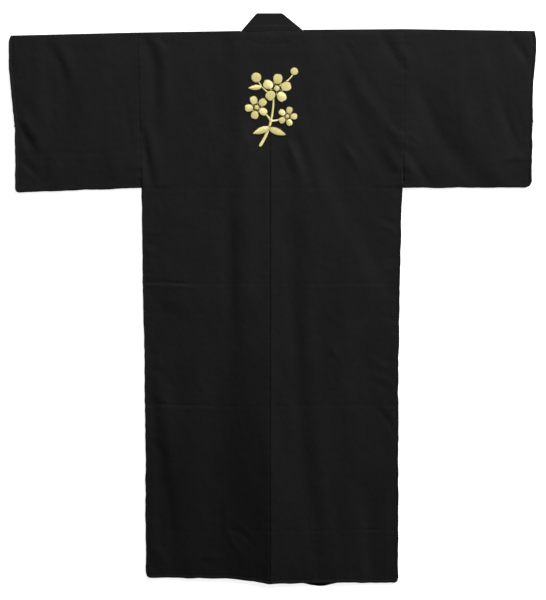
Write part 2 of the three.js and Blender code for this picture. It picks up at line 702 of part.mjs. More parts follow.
// A twig that is full width where it starts and half of it at its tip.
function twigShape({ from, bend, to, wide }) {
  const vector = (p) => new THREE.Vector2(p.x, p.y);
  const curve = new THREE.QuadraticBezierCurve(vector(from), vector(bend), vector(to));
  const rim = (way) =>
    spaced(0, 1, 1 / 6).map((share) => {
      const aside = curve.getTangent(share).rotateAround(new THREE.Vector2(), halfTurn / 2);
      return curve.getPoint(share).addScaledVector(aside, (way * wide * (1 - share / 2)) / 2);
    });
  return new THREE.Shape([...rim(-1), ...rim(1).reverse()]);
}

// The union of all the shapes, raised by the thread's thickness.
function embroidery(wasm) {
  const shapes = [
    ...blossoms.flatMap(blossomShapes),
    ...buds.map(({ x, y, radius }) => discShape(x, y, radius)),
    ...leaves.map(leafShape),
    ...twigs.map(twigShape),
  ];
  const solids = shapes.map((shape) => {
    const geometry = new THREE.ExtrudeGeometry(shape, { depth: threadThick, bevelEnabled: false, curveSegments: 6 });
    geometry.deleteAttribute("normal");
    geometry.deleteAttribute("uv");
    const merged = mergeVertices(geometry, 1e-4);
    const mesh = new wasm.Mesh({
      numProp: 3,
      vertProperties: merged.attributes.position.array,
      triVerts: new Uint32Array(merged.index.array),
    });
    return new wasm.Manifold(mesh);
  });
  const mesh = solids.reduce((all, solid) => all.add(solid)).getMesh();
  const geometry = new THREE.BufferGeometry();
  geometry.setAttribute("position", new THREE.Float32BufferAttribute(mesh.vertProperties, 3));
  geometry.setIndex([...mesh.triVerts]);
  return geometry;
}

// ---------- Putting it together ----------

const blackCotton = new THREE.MeshStandardMaterial({ color: 0x1d1d1d, roughness: 0.9, metalness: 0 });
const goldThread = new THREE.MeshStandardMaterial({ color: 0xe0bf60, roughness: 0.4, metalness: 0.3 });

const wasm = await Module();
wasm.setup();

const kimono = new THREE.Group();
function add(name, geometry, material) {
  const mesh = new THREE.Mesh(geometry, material);
  mesh.name = name;
  kimono.add(mesh);
  return mesh;
}

for (const [name, half] of Object.entries(halves)) {
  add(`body_${name}`, bodyPanel(half), blackCotton);
  add(`overlap_${name}`, overlapPanel(half), blackCotton);
  add(`sleeve_${name}`, sleeve(half), blackCotton);
}
add("collar", collar(), blackCotton);
add("neck_crescent", neckCrescent(), blackCotton);
const spray = add("blossom_spray", embroidery(wasm), goldThread);
const motifLevel = backLevel(motifCentre.x, motifCentre.y) + clothThick / 2 + seamGap;
spray.position.set(motifCentre.x, motifCentre.y, motifLevel);

// The origin is under the middle of the garment's outline.
const box = new THREE.Box3().setFromObject(kimono);
const middle = box.getCenter(new THREE.Vector3());
kimono.position.set(-middle.x, -middle.y, 0);

export default kimono;
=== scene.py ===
import math
import bmesh
import bpy
import numpy as np
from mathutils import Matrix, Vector


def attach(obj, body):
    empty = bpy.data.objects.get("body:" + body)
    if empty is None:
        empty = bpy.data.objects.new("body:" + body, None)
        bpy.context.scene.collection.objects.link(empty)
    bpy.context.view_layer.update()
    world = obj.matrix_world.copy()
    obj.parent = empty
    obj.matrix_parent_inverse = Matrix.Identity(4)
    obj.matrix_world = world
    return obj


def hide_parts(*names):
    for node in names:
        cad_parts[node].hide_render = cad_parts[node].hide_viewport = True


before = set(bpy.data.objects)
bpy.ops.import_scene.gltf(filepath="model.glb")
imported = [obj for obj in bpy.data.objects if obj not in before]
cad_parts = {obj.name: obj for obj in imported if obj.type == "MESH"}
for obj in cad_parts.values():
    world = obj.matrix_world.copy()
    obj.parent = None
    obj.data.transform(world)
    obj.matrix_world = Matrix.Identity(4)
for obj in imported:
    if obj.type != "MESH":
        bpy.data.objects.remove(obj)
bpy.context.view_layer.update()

# Shapes are worked out in millimetres from the back of the neck: x from the centre back seam, y up from the
# shoulder line (a drop is a distance down from it), z up from the surface. toFrame moves them to the origin
# under the middle of the garment.
toFrame = (-7.5, 690.04, 0.0)
clothThick = 1.2
bandThick = 2.0
patchThick = 1.0
seamGap = 0.3
roundSteps = 8

cameraSetup = {
    "centre": (1.5, -2.7), "frameHeight": 1545.0, "clothHeight": 6.0, "lens": 110.0, "sensor": 36.0,
    "farthest": 50,
}


def addObject(name, data):
    made = bpy.data.objects.new(name, data)
    bpy.context.collection.objects.link(made)
    return made


def makeCamera(setup):
    # looks straight down, from as far as its lens needs to frame the given height
    data = bpy.data.cameras.new("topCamera")
    data.lens = setup["lens"]
    data.sensor_width = setup["sensor"]
    data.clip_end = setup["farthest"]
    camera = addObject("topCamera", data)
    distance = setup["lens"] * setup["frameHeight"] / setup["sensor"]
    camera.location = [v / 1000 for v in (*setup["centre"], distance + setup["clothHeight"])]
    bpy.context.scene.camera = camera


makeCamera(cameraSetup)


def table(columns, *rows):
    # a dictionary for each row, under the names of the columns
    return [dict(zip(columns.split(), row)) for row in rows]


def lookUp(rows, by, at, read):
    # the value of one column where another column has the given value, on straight lines between rows
    known = np.array([(row[by], row[read]) for row in rows], float)
    return np.interp(at, known[:, 0], known[:, 1])


def smoothStep(value, start, end):
    # 0 before start, 1 past end and a soft S between them
    share = np.clip((value - start) / (end - start), 0, 1)
    return share * share * (3 - 2 * share)


def fading(value, start, end):
    # 1 before start and 0 past end
    return 1 - smoothStep(value, start, end)


def mix(a, b, share):
    # goes from a to b as share goes from 0 to 1
    return a + (b - a) * share


def eased(distance, least, reach):
    # least on an edge, 1 from reach inwards and a soft S between them
    return mix(least, 1, smoothStep(distance, 0, reach))


def stretches(*spans):
    # values along stretches that meet end to end, spread evenly in each, by no more than its own step
    parts = [np.linspace(a, b, max(1, math.ceil(abs(b - a) / step)) + 1) for a, b, step in spans]
    return np.concatenate([parts[0]] + [part[1:] for part in parts[1:]])


lattice = {"size": 64, "shift": (20, 50)}


def wander(x, y, across, along, seed):
    # soft noise between -1 and 1: random heights on a lattice of the given spacing, blended by soft S curves
    size = lattice["size"]
    heights = np.random.default_rng(seed).uniform(-1, 1, (size, size))
    u, v = x / across + lattice["shift"][0], y / along + lattice["shift"][1]
    i, j = np.floor(u).astype(int), np.floor(v).astype(int)
    s, t = smoothStep(u - i, 0, 1), smoothStep(v - j, 0, 1)
    low, high = (mix(heights[i % size, k % size], heights[(i + 1) % size, k % size], s) for k in (j, j + 1))
    return mix(low, high, t)


def lineNoise(along, spacing, seed):
    # soft noise along one line
    along = np.asarray(along, float)
    return wander(along, along * 0, spacing, spacing, seed)


def waves(along, look, seed):
    # long soft waves of uneven height, with weaker short ones on them
    short = look["shortShare"] * lineNoise(along, look["short"], seed + 1)
    return look["high"] * (lineNoise(along, look["long"], seed) + short)


shoulderLine = table("x y", (-672, -11), (-341, -3), (-75, 1), (88, 4), (348, 6), (687, 1))
backHem = table(
    "x y", (-330, -1408), (-110, -1410), (-45, -1417), (-4, -1424), (60, -1423), (190, -1421), (345, -1422)
)
cut = {
    "sleeveDrop": 404, "hemDrop": 1420, "frontHemShort": 6, "cuffOpening": 232, "collarDrop": 660,
    "collarSweep": 1.35, "bandWide": 49, "bandEndWide": 55, "bandTop": 46, "bandTopHalf": 33.5,
    "crescentDeep": 36, "overlapStart": 300, "hemSeed": 51, "sleeveHemSeed": 61,
}
left = {
    "way": -1, "neckHalf": 75, "pastCentre": 185, "cuffBottom": -416, "cornerRound": 7, "hemDip": 11,
    "bodySeed": 53, "body": table("drop half", (0, 341), (404, 330), (690, 326), (1030, 320), (1420, 319)),
    "cuffSeed": 57,
    "cuff": table("drop out", (0, 668), (12, 672), (85, 672), (170, 663), (232, 657), (404, 655)),
}
right = {
    "way": 1, "neckHalf": 88, "pastCentre": 175, "cuffBottom": -403, "cornerRound": 14, "hemDip": 0,
    "bodySeed": 55,
    "body": table("drop half", (0, 348), (404, 343), (490, 340), (690, 336), (910, 332), (1420, 332)),
    "cuffSeed": 59,
    "cuff": table("drop out", (0, 683), (20, 687), (50, 687), (130, 679), (232, 678), (404, 676)),
}
neckMiddle = (right["neckHalf"] - left["neckHalf"]) / 2
edgeStray = {"high": 0.9, "long": 30, "short": 13, "shortShare": 0.5}


def shoulderY(x):
    return lookUp(shoulderLine, "x", x, "y")


def hemY(x):
    # the hem's line, with the strays of a worn edge; the side's and the cuff's below are made the same way
    return lookUp(backHem, "x", x, "y") + waves(x, edgeStray, cut["hemSeed"])


def bodyHalf(half, drop):
    return lookUp(half["body"], "drop", drop, "half") + waves(drop, edgeStray, half["bodySeed"])


def cuffOut(half, drop):
    return lookUp(half["cuff"], "drop", drop, "out") + waves(drop, edgeStray, half["cuffSeed"])


def collarSeamX(half, drop):
    # from the side of the neck to past the centre, turning inwards later on the way down
    share = (drop / cut["collarDrop"]) ** cut["collarSweep"]
    return half["way"] * (half["neckHalf"] - (half["neckHalf"] + half["pastCentre"]) * share)


# how the layers lie on each other: spans are where one ramps up or fades out
layers = {
    "rightFrontRise": bandThick + seamGap, "overOneFront": clothThick + seamGap, "patchGap": 0.8,
    "frontSlope": (10, 72), "backSlope": (6, 78), "crossing": (50, 150), "bandReach": 1.15,
    "bandEnd": (20, 90), "collarPast": (12, 62), "collarEnd": (690, 790), "patchAcross": (92, 138),
    "patchDown": (42, 88),
}
# the back's lift over them: its loft and folds, how much of them an edge keeps, and how far in that reaches
settling = {
    "sideLoft": 1.5, "loft": 2.9, "loftReach": 110, "loftByShoulder": (0.4, 100), "byShoulder": (0.6, 18),
    "byHem": (0.5, 60), "foldGain": 1.35, "foldReach": 34, "foldEnds": 0.45, "slitMost": 8.0,
    "frontStep": (-40, 0),
}
motifFlat = {"centre": (4, -190), "half": (54, 84), "fade": 0.8, "lift": 1.6, "overSeam": 0.3}

# each fold runs on a line that is bent sideways by bow; it is about two spreads wide, and rise high or deep
folds = table(
    "fromX fromY toX toY bow spread rise",
    # right shoulder and sleeve
    (196, -90, 334, -288, -5, 19, 1.35),
    (188, -105, 305, -365, -14, 21, -1.2),
    (292, -5, 336, -95, 0, 14, -1.6),
    (316, -8, 360, -90, 0, 15, 1.0),
    (300, -302, 346, -372, 0, 12, 1.4),
    (190, -290, 226, -354, 0, 12, 1.2),
    (350, -140, 364, -395, 0, 32, 1.3),
    (340, -215, 346, -392, 0, 56, 2.4),
    (384, -135, 543, -394, -22, 24, -1.7),
    (450, -130, 585, -392, -4, 34, 1.4),
    (346, -322, 382, -396, 0, 11, 1.2),
    (360, -318, 412, -396, 0, 10, -1.1),
    (520, -60, 524, -250, 0, 52, 1.6),
    (598, -178, 638, -304, -5, 13, -1.3),
    (622, -12, 670, -84, 0, 12, -1.4),
    (600, -332, 670, -325, 3, 9, 1.1),
    # right of the centre seam
    (112, -30, 124, -400, 6, 34, 1.3),
    (30, -250, 74, -366, 3, 11, 1.4),
    (62, -252, 106, -396, 3, 13, -1.3),
    (56, -410, 128, -1400, -20, 22, -1.35),
    (95, -400, 164, -1400, -20, 25, 1.05),
    (256, -1180, 262, -1420, 0, 20, -1.2),
    (302, -1180, 304, -1420, 0, 18, 0.8),
    # left of it, and the ridge of the seam itself
    (-106, -400, -98, -940, -3, 17, -1.1),
    (-66, -115, -60, -700, 0, 34, 2.6),
    (-58, -690, -38, -1200, 0, 46, 2.4),
    (14, -1060, 16, -1424, 0, 48, 3.0),
    (-120, -930, -128, -1400, 0, 42, -1.2),
    (-322, -860, -270, -1200, 0, 20, -1.5),
    (-270, -1180, -256, -1392, 0, 30, -2.0),
    (-290, -870, -226, -1230, 0, 28, 1.6),
    # left shoulder and sleeve
    (-330, -12, -298, -92, 4, 16, -1.4),
    (-299, -80, -300, -218, 3, 15, -1.2),
    (-302, -8, -271, -84, 4, 14, 0.9),
    (-270, -72, -270, -222, 0, 17, 1.4),
    (-332, -252, -306, -394, 0, 11, -1.5),
    (-313, -252, -282, -392, 0, 15, 1.2),
    (-570, -34, -524, -138, 6, 14, -1.0),
    (-552, -28, -506, -130, 6, 17, 1.2),
    (-600, -105, -586, -252, 0, 22, 1.2),
    (-528, -135, -520, -270, 0, 22, -0.5),
    (-442, -90, -430, -310, 0, 42, 0.9),
    (-400, -286, -396, -398, 0, 28, 1.6),
    (-662, -238, -608, -310, 4, 13, -1.8),
    (-646, -214, -588, -300, 4, 15, 1.3),
    (-584, -322, -576, -402, 0, 14, -1.0),
    (-646, -332, -588, -388, 3, 10, -1.2),
)

# finer creases that only the dressed cloth has
creases = table(
    "fromX fromY toX toY bow spread rise",
    # right shoulder, armhole and sleeve
    (206, -112, 344, -288, -4, 6, 0.4),
    (188, -20, 230, -92, 0, 8, -0.9),
    (236, -78, 300, -170, 0, 8, 0.5),
    (300, -252, 346, -276, 2, 5, 0.8),
    (310, -236, 350, -258, 0, 5, -0.6),
    (318, -284, 374, -300, 3, 5, 1.0),
    (326, -300, 370, -318, 0, 5, -0.8),
    (350, -262, 394, -296, 3, 6, 0.7),
    (352, -334, 368, -392, 0, 5, 0.7),
    (268, -205, 330, -322, 4, 6, -0.7),
    (392, -148, 470, -318, -6, 8, -0.5),
    (362, -160, 420, -320, 3, 9, 0.4),
    (606, -200, 642, -292, -3, 6, -0.9),
    (640, -180, 664, -260, 0, 9, 0.5),
    (632, -28, 672, -84, 0, 6, -0.9),
    (560, -40, 600, -120, 0, 14, -0.5),
    # below the embroidery
    (46, -286, 78, -358, 2, 5, 0.9),
    (22, -296, 52, -372, 0, 6, -0.6),
    (88, -296, 114, -378, 3, 6, -0.9),
    (198, -300, 230, -354, 3, 5, 0.9),
    (150, -800, 178, -846, 0, 8, 0.8),
    (140, -860, 166, -930, 0, 7, 0.5),
    (60, -640, 78, -860, -4, 8, -0.6),
    # long folds of the left half
    (-96, -480, -94, -640, -2, 8, -0.8),
    (-95, -630, -86, -810, -2, 9, -0.7),
    (-72, -930, -40, -1080, -4, 9, -0.8),
    (-40, -1050, -14, -1180, 0, 14, -0.9),
    (-118, -1195, -110, -1290, 0, 6, 1.0),
    (-110, -1284, -70, -1346, -4, 6, 1.0),
    (-176, -1354, -104, -1356, 0, 6, 0.8),
    (-96, -1284, -36, -1328, 5, 6, -0.9),
    (-88, -1262, -44, -1300, 0, 5, 0.7),
    # left shoulder, armhole and sleeve
    (-322, -20, -296, -84, 4, 7, -0.4),
    (-296, -14, -262, -40, 0, 6, -0.6),
    (-290, -30, -254, -62, 0, 7, 0.6),
    (-292, -96, -290, -205, 2, 8, -0.8),
    (-326, -262, -310, -350, 0, 6, -0.9),
    (-378, -150, -356, -290, 0, 10, -0.9),
    (-352, -60, -350, -130, 0, 6, -0.6),
    (-560, -44, -522, -128, 4, 7, -0.5),
    (-614, -80, -602, -134, 0, 7, -0.9),
    (-648, -242, -612, -296, 3, 7, -1.0),
    (-660, -220, -622, -242, 2, 6, 0.8),
    (-484, -44, -466, -62, 0, 8, -0.9),
    (-640, -350, -600, -384, 2, 6, 0.7),
    # hem corner
    (-306, -1328, -262, -1374, 3, 9, 1.1),
    (-312, -1366, -282, -1398, 2, 6, -0.8),
    # down the right side
    (288, -482, 332, -500, 0, 5, -0.9),
    (282, -500, 332, -522, 2, 6, 0.9),
    (284, -604, 328, -576, 0, 6, -0.9),
    (288, -624, 332, -600, 0, 6, 0.9),
    (304, -666, 334, -692, 0, 8, -1.2),
    (296, -738, 334, -746, 0, 7, -1.1),
    (264, -844, 302, -872, 0, 6, 0.8),
    (260, -904, 306, -926, 2, 6, -0.9),
    (270, -884, 330, -912, 0, 7, 0.8),
    (280, -976, 320, -1034, 4, 6, -1.1),
    (292, -966, 328, -1018, 4, 8, 0.9),
    # down the left side
    (-324, -512, -290, -520, 0, 6, 0.8),
    (-324, -540, -288, -556, 0, 6, -0.9),
    (-324, -566, -296, -573, 0, 5, 0.7),
    (-318, -800, -296, -852, 0, 9, -1.1),
    (-316, -860, -260, -906, 4, 10, -1.2),
    (-306, -930, -262, -958, 0, 7, 0.9),
    (-312, -950, -284, -986, 0, 7, -0.9),
    (-306, -1056, -262, -1112, 4, 8, -0.8),
)

# pressed creases from when the garment was folded away: straight lines, strong from one x to the other
pressed = table(
    "y fromX toX deep",
    (-404, -330, 340, 0.25), (-649, -322, -205, 1.3), (-650, -205, -110, 0.3), (-652, 90, 326, 0.3),
    (-650, -110, 90, 0.2), (-729, -322, -150, 0.25), (-963, -310, -140, 0.6), (-965, -140, 330, 0.2),
    (-1285, 250, 330, 0.6), (-1287, -318, 250, 0.15), (-318, -552, -446, 0.6), (-318, -650, -552, 0.3),
)
pressedLook = {
    "stray": 2.5, "strayLong": 70, "seed": 41, "startFade": (-25, 5), "endFade": (-5, 25), "line": (1, 3.6),
    "shoulder": (0.4, 6), "shoulderBelow": 8,
}


def foldRelief(x, y, rows):
    # each fold is a bell-shaped ridge or trough across its bowed line, and fades towards its ends
    relief = np.zeros_like(x)
    for row in rows:
        dx, dy = row["toX"] - row["fromX"], row["toY"] - row["fromY"]
        length = math.hypot(dx, dy)
        across, along = x - row["fromX"], y - row["fromY"]
        share = (across * dx + along * dy) / length**2
        inside = np.clip(share, 0, 1)
        beside = (along * dx - across * dy) / length - row["bow"] * (1 - (2 * inside - 1) ** 2)
        past = np.maximum(0, np.maximum(-share, share - 1)) * length
        fade = mix(settling["foldEnds"], 1, np.sin(np.pi * inside))
        relief += row["rise"] * fade * np.exp(-(beside**2 + past**2) / row["spread"] ** 2)
    return relief


def groove(distance, deep, wide):
    return -deep * np.exp(-((distance / wide) ** 2))


def pressedRelief(x, y, look):
    # a narrow groove with a soft shoulder on its lower side, fading past the ends of its stretch
    relief = np.zeros_like(x)
    for row in pressed:
        offset = y - row["y"] - look["stray"] * lineNoise(x, look["strayLong"], look["seed"])
        strong = smoothStep(x - row["fromX"], *look["startFade"]) * fading(x - row["toX"], *look["endFade"])
        section = groove(offset, *look["line"]) - groove(offset + look["shoulderBelow"], *look["shoulder"])
        relief += row["deep"] * strong * section
    return relief


def awayFromMotif(x, y):
    # 0 on the flat oval under the embroidery and 1 away from it
    (cx, cy), (acrossHalf, downHalf) = motifFlat["centre"], motifFlat["half"]
    return smoothStep(np.hypot((x - cx) / acrossHalf, (y - cy) / downHalf), 1, 1 + motifFlat["fade"])


def halfOf(x, read):
    # reads something of the left half where x is negative, and of the right half elsewhere
    return np.where(x < 0, read(left), read(right))


def pastArmhole(x, drop):
    # how far out of the armhole seam, and of a line straight down from the underarm
    return np.abs(x) - halfOf(x, lambda half: bodyHalf(half, np.minimum(drop, cut["sleeveDrop"])))


def fromEdges(x, y):
    # distances in from the shoulder line, the side or cuff, and the bottom edge
    drop = -y

    def outerEdge(half):
        return np.where(drop < cut["sleeveDrop"], cuffOut(half, drop), bodyHalf(half, drop))

    bottom = np.where(pastArmhole(x, drop) > 0, y + cut["sleeveDrop"], y - hemY(x))
    return shoulderY(x) - y, halfOf(x, outerEdge) - np.abs(x), bottom


def pastFront(half, x, y):
    # how far a point lies past the outermost edge of a front
    drop = np.maximum(0, -y)
    down = np.minimum(drop, cut["collarDrop"])
    band = mix(cut["bandWide"], layers["bandReach"] * cut["bandEndWide"], down / cut["collarDrop"])
    reach = band * fading(drop - cut["collarDrop"], *layers["bandEnd"])
    return half["way"] * (collarSeamX(half, down) - x) - reach


def overFront(half, x, y, slope):
    # 1 over a front and 0 well past its edge
    return fading(pastFront(half, x, y), *slope)


def frontFoot(half, x, y):
    # the underside of a front: the left one on the surface, the right one over it
    if half is left:
        return np.zeros_like(x)
    return layers["rightFrontRise"] * overFront(left, x, y, layers["frontSlope"])


def frontLevel(half, x, y):
    return frontFoot(half, x, y) + clothThick / 2


def overCollar(x, y):
    # 1 over the crossed ends of the collar
    drop = np.clip(-y, 0, cut["collarDrop"])
    seams = collarSeamX(left, drop), collarSeamX(right, drop)
    beside = np.maximum(np.minimum(*seams) - x, x - np.maximum(*seams)) - cut["bandEndWide"]
    return fading(beside, *layers["collarPast"]) * fading(-y, *layers["collarEnd"])


def overPatch(x, y):
    # 1 over the crescent inside the neck
    return fading(np.abs(x - neckMiddle), *layers["patchAcross"]) * fading(-y, *layers["patchDown"])


def backUnderside(x, y):
    # the top of the layers below, plus the cloth's own lift: a loft and folds, settled towards the edges
    overRight = overFront(right, x, y, layers["backSlope"])
    crossed = overFront(left, x, y, layers["frontSlope"]) * overRight * smoothStep(-y, *layers["crossing"])
    below = layers["overOneFront"] + layers["rightFrontRise"] * crossed
    below += (bandThick - clothThick) * overCollar(x, y) + (patchThick + layers["patchGap"]) * overPatch(x, y)
    shoulder, side, bottom = fromEdges(x, y)
    settled = eased(shoulder, *settling["byShoulder"]) * eased(bottom, *settling["byHem"])
    loft = mix(settling["sideLoft"], settling["loft"], smoothStep(side, 0, settling["loftReach"]))
    loft *= eased(shoulder, *settling["loftByShoulder"])
    folded = settling["foldGain"] * foldRelief(x, y, folds) * smoothStep(side, 0, settling["foldReach"])
    step = overRight * smoothStep(pastFront(right, x, y), *settling["frontStep"])
    lift = np.clip(loft + folded, 0, settling["slitMost"] - layers["rightFrontRise"] * step)
    flat = layers["rightFrontRise"] + bandThick + seamGap + motifFlat["lift"]
    return mix(flat, below + settled * lift, awayFromMotif(x, y))


# line: a groove's depth and width; over: how high a seam's upper layer lies before and past its span down
sewing = {
    "hem": {"wide": 8, "step": 0.5, "edge": (-2, 1.5), "line": (0.8, 2.0), "puckers": 0.7, "farthest": 90},
    "armhole": {"line": (0.15, 1.8), "end": (-2, 2), "pastEnd": 20},
    "leftArmhole": {"over": (0.4, 0.8), "down": (20, 120)},
    "rightArmhole": {"over": (0.1, 2.0), "down": (290, 370)},
    "centre": {
        "over": (0.15, 1.8), "down": (240, 360), "line": (0.12, 3.0), "puckers": 0.45, "start": (0, 30),
    },
    "side": {"lineIn": 7, "line": (0.35, 2.0), "puckers": 1.3, "start": (0, 150), "edge": (0, 10)},
    "roll": {"rise": 3.0, "fall": 12},
    "pucker": {"high": 0.5, "long": 9, "short": 4.5, "shortShare": 0.6, "reach": 14},
    "seeds": {"hem": 7, "cuff": 9, "armhole": 11, "centre": 13, "side": 15},
}


def rolled(distance):
    # a seam's upper layer: it rises within some 4 mm of the seam and falls away over some 12 mm
    rise, fall = sewing["roll"]["rise"], sewing["roll"]["fall"]
    return np.where(distance > 0, (1 + groove(distance, 1, rise)) * np.exp(-np.abs(distance) / fall), 0)


def overBy(seam, drop):
    return mix(*sewing[seam]["over"], smoothStep(drop, *sewing[seam]["down"]))


def puckers(along, distance, seam):
    # short waves across a seam, of uneven strength, dying away from it
    look = sewing["pucker"]
    return waves(along, look, sewing["seeds"][seam]) * np.exp(-np.abs(distance) / look["reach"])


def sewnRelief(x, y):
    # hems turned under and stitched, seams pressed to one side, and puckers along them
    shoulder, side, bottom = fromEdges(x, y)
    drop = -y
    pastSleeve = drop - cut["sleeveDrop"]
    armhole = pastArmhole(x, drop)
    onSleeve = (armhole > 0) & (pastSleeve < sewing["armhole"]["pastEnd"])
    relief = np.zeros_like(x)
    # bottom hem, and the cuffs'
    look, far = sewing["hem"], 1e3
    edges = (np.where(onSleeve, far, bottom), x, "hem"), (np.where(onSleeve, side, far), y, "cuff")
    for edge, along, seam in edges:
        inside = edge - look["wide"]
        relief += look["step"] * fading(inside, *look["edge"]) + groove(inside, *look["line"])
        relief += look["puckers"] * puckers(along, np.minimum(inside, look["farthest"]), seam)
    # armholes: on the left the body lies over the sleeve, on the right the sleeve over the body
    over = np.where(
        x < 0, overBy("leftArmhole", drop) * rolled(-armhole), overBy("rightArmhole", drop) * rolled(armhole)
    )
    over += groove(armhole, *sewing["armhole"]["line"]) + puckers(y, armhole, "armhole")
    relief += over * fading(pastSleeve, *sewing["armhole"]["end"])
    # centre back seam: the right panel lies over the left one
    look, over = sewing["centre"], overBy("centre", drop)
    centre = over * (rolled(x) + groove(x, *look["line"])) + look["puckers"] * puckers(y, x, "centre")
    relief += centre * smoothStep(shoulder, *look["start"])
    # side seams, with a pressed line a little way in
    look = sewing["side"]
    gathered = look["puckers"] * puckers(y, side, "side") * smoothStep(side, *look["edge"])
    sides = np.where(onSleeve, 0, smoothStep(pastSleeve, *look["start"]))
    return relief + sides * (gathered + groove(side - look["lineIn"], *look["line"]))


crescentLook = {
    "inset": 8, "endDeep": 4, "step": 4.0, "rows": 10, "lineInset": 6, "lineBelow": 3, "line": (0.4, 3.2),
    "lineStart": (4, 9), "lineHalf": 90, "lineDrop": 60,
}


def ovalOf(x, inset):
    # 1 in the middle of the neck and 0 at its sides, which move in by inset: half an oval
    low, high = inset - left["neckHalf"], right["neckHalf"] - inset
    return np.sqrt(1 - np.clip(2 * (x - low) / (high - low) - 1, -1, 1) ** 2)


def crescentLine(x, y, shoulder, look):
    # the crescent's stitches, which show as a groove
    below = shoulder - look["lineBelow"] - cut["crescentDeep"] * ovalOf(x, look["lineInset"])
    near = (np.abs(x) < look["lineHalf"]) & (y > -look["lineDrop"])
    return np.where(near, groove(below, *look["line"]), 0) * smoothStep(shoulder, *look["lineStart"])


# the small unevenness of worn cotton: broad soft swells, then crumples, of which the finest slant
swells = table(
    "high across along slant seed", (0.8, 60, 150, 0, 21), (0.42, 34, 60, 0, 22), (0.22, 17, 24, 0, 23),
    (0.15, 12, 14, 1, 24),
)
surface = {
    "byShoulder": (0, 14), "bySide": (0, 16), "byHem": (-4, 14), "creaseGain": 0.85, "onMotif": 0.3,
    "least": -0.7, "most": 2.6, "clear": 0.3,
}


def clothTexture(x, y):
    relief = np.zeros_like(x)
    for row in swells:
        across, along = x + row["slant"] * y, y - row["slant"] * x
        relief += row["high"] * wander(across, along, row["across"], row["along"], row["seed"])
    return relief


def backLevel(x, y, sewn=True):
    # the middle of the back's cloth, with its sewing or, under the embroidery, smoothed over it
    shoulder, side, bottom = fromEdges(x, y)
    calm = smoothStep(shoulder, *surface["byShoulder"]) * smoothStep(side, *surface["bySide"])
    fine = clothTexture(x, y) + pressedRelief(x, y, pressedLook)
    fine += surface["creaseGain"] * foldRelief(x, y, creases)
    fine *= calm * smoothStep(bottom, *surface["byHem"]) * mix(surface["onMotif"], 1, awayFromMotif(x, y))
    stitched = crescentLine(x, y, shoulder, crescentLook)
    seams = sewnRelief(x, y) + stitched if sewn else motifFlat["overSeam"]
    rise = np.clip(fine + seams, surface["least"], surface["most"])
    return backUnderside(x, y) + rise + clothThick / 2 + surface["clear"]


def edgeRadius(half, x, y):
    return (backLevel(x, y) - frontLevel(half, x, y)) / 2


def foldStartY(half, x):
    # where the back's flat part ends below the shoulder fold
    return shoulderY(x) - edgeRadius(half, x, shoulderY(x)) - clothThick / 2


def neckEdgeY(x):
    # the back's neck edge, straight between the two folds
    ends = [(half, np.array(1.0 * half["way"] * half["neckHalf"])) for half in (left, right)]
    return np.interp(x, [end for _, end in ends], [foldStartY(half, end) for half, end in ends])


def stack(x, y, z):
    # points from three coordinates, any of which may be one number
    return np.stack(np.broadcast_arrays(x, y, z), axis=-1).astype(float)


def unit(vectors):
    # the same directions, with length 1
    return vectors / np.maximum(np.linalg.norm(vectors, axis=-1, keepdims=True), 1e-9)


up, down, back = np.array([0.0, 0, 1]), np.array([0.0, 0, -1]), np.array([0.0, 1, 0])


def gridOf(places, start=0):
    # numbers a grid's vertices, row after row
    rows, columns = places.shape[:2]
    return start + np.arange(rows * columns).reshape(rows, columns)


def gridQuads(number):
    # the four corners of each cell of a grid of vertex numbers
    return np.stack([number[:-1, :-1], number[:-1, 1:], number[1:, 1:], number[1:, :-1]], -1).reshape(-1, 4)


def patchOf(places, facing):
    # a part of a mid-surface: its grid of places, and which way each of them faces
    return places, np.broadcast_to(facing, places.shape).astype(float)


def roundEdge(top, bottomZ, out):
    # half a round from each upper place to the lower place under it, bulging along out
    angle = np.linspace(0.5 * np.pi, -0.5 * np.pi, roundSteps + 1)[:, None, None]
    radius = ((top[:, 2] - bottomZ) / 2)[None, :, None]
    middle = top.copy()
    middle[:, 2] = (top[:, 2] + bottomZ) / 2
    facing = out * np.cos(angle) + up * np.sin(angle)
    return middle + facing * radius, facing + np.zeros_like(middle)


weldsPerMillimetre = 200
# open edges are rounded: how far in, at most and as a share of a cell, and with what radius; the profile is a
# quarter of a circle from the upper face to the edge, as shares of the radius in from the edge and down
edgeRound = {
    "inset": 1.0, "ofCell": 0.4, "radius": 0.5, "ofInset": 0.6, "mitreLeast": 1.4,
    "profile": [(1, 0), (0.29, 0.29), (0, 1)],
}


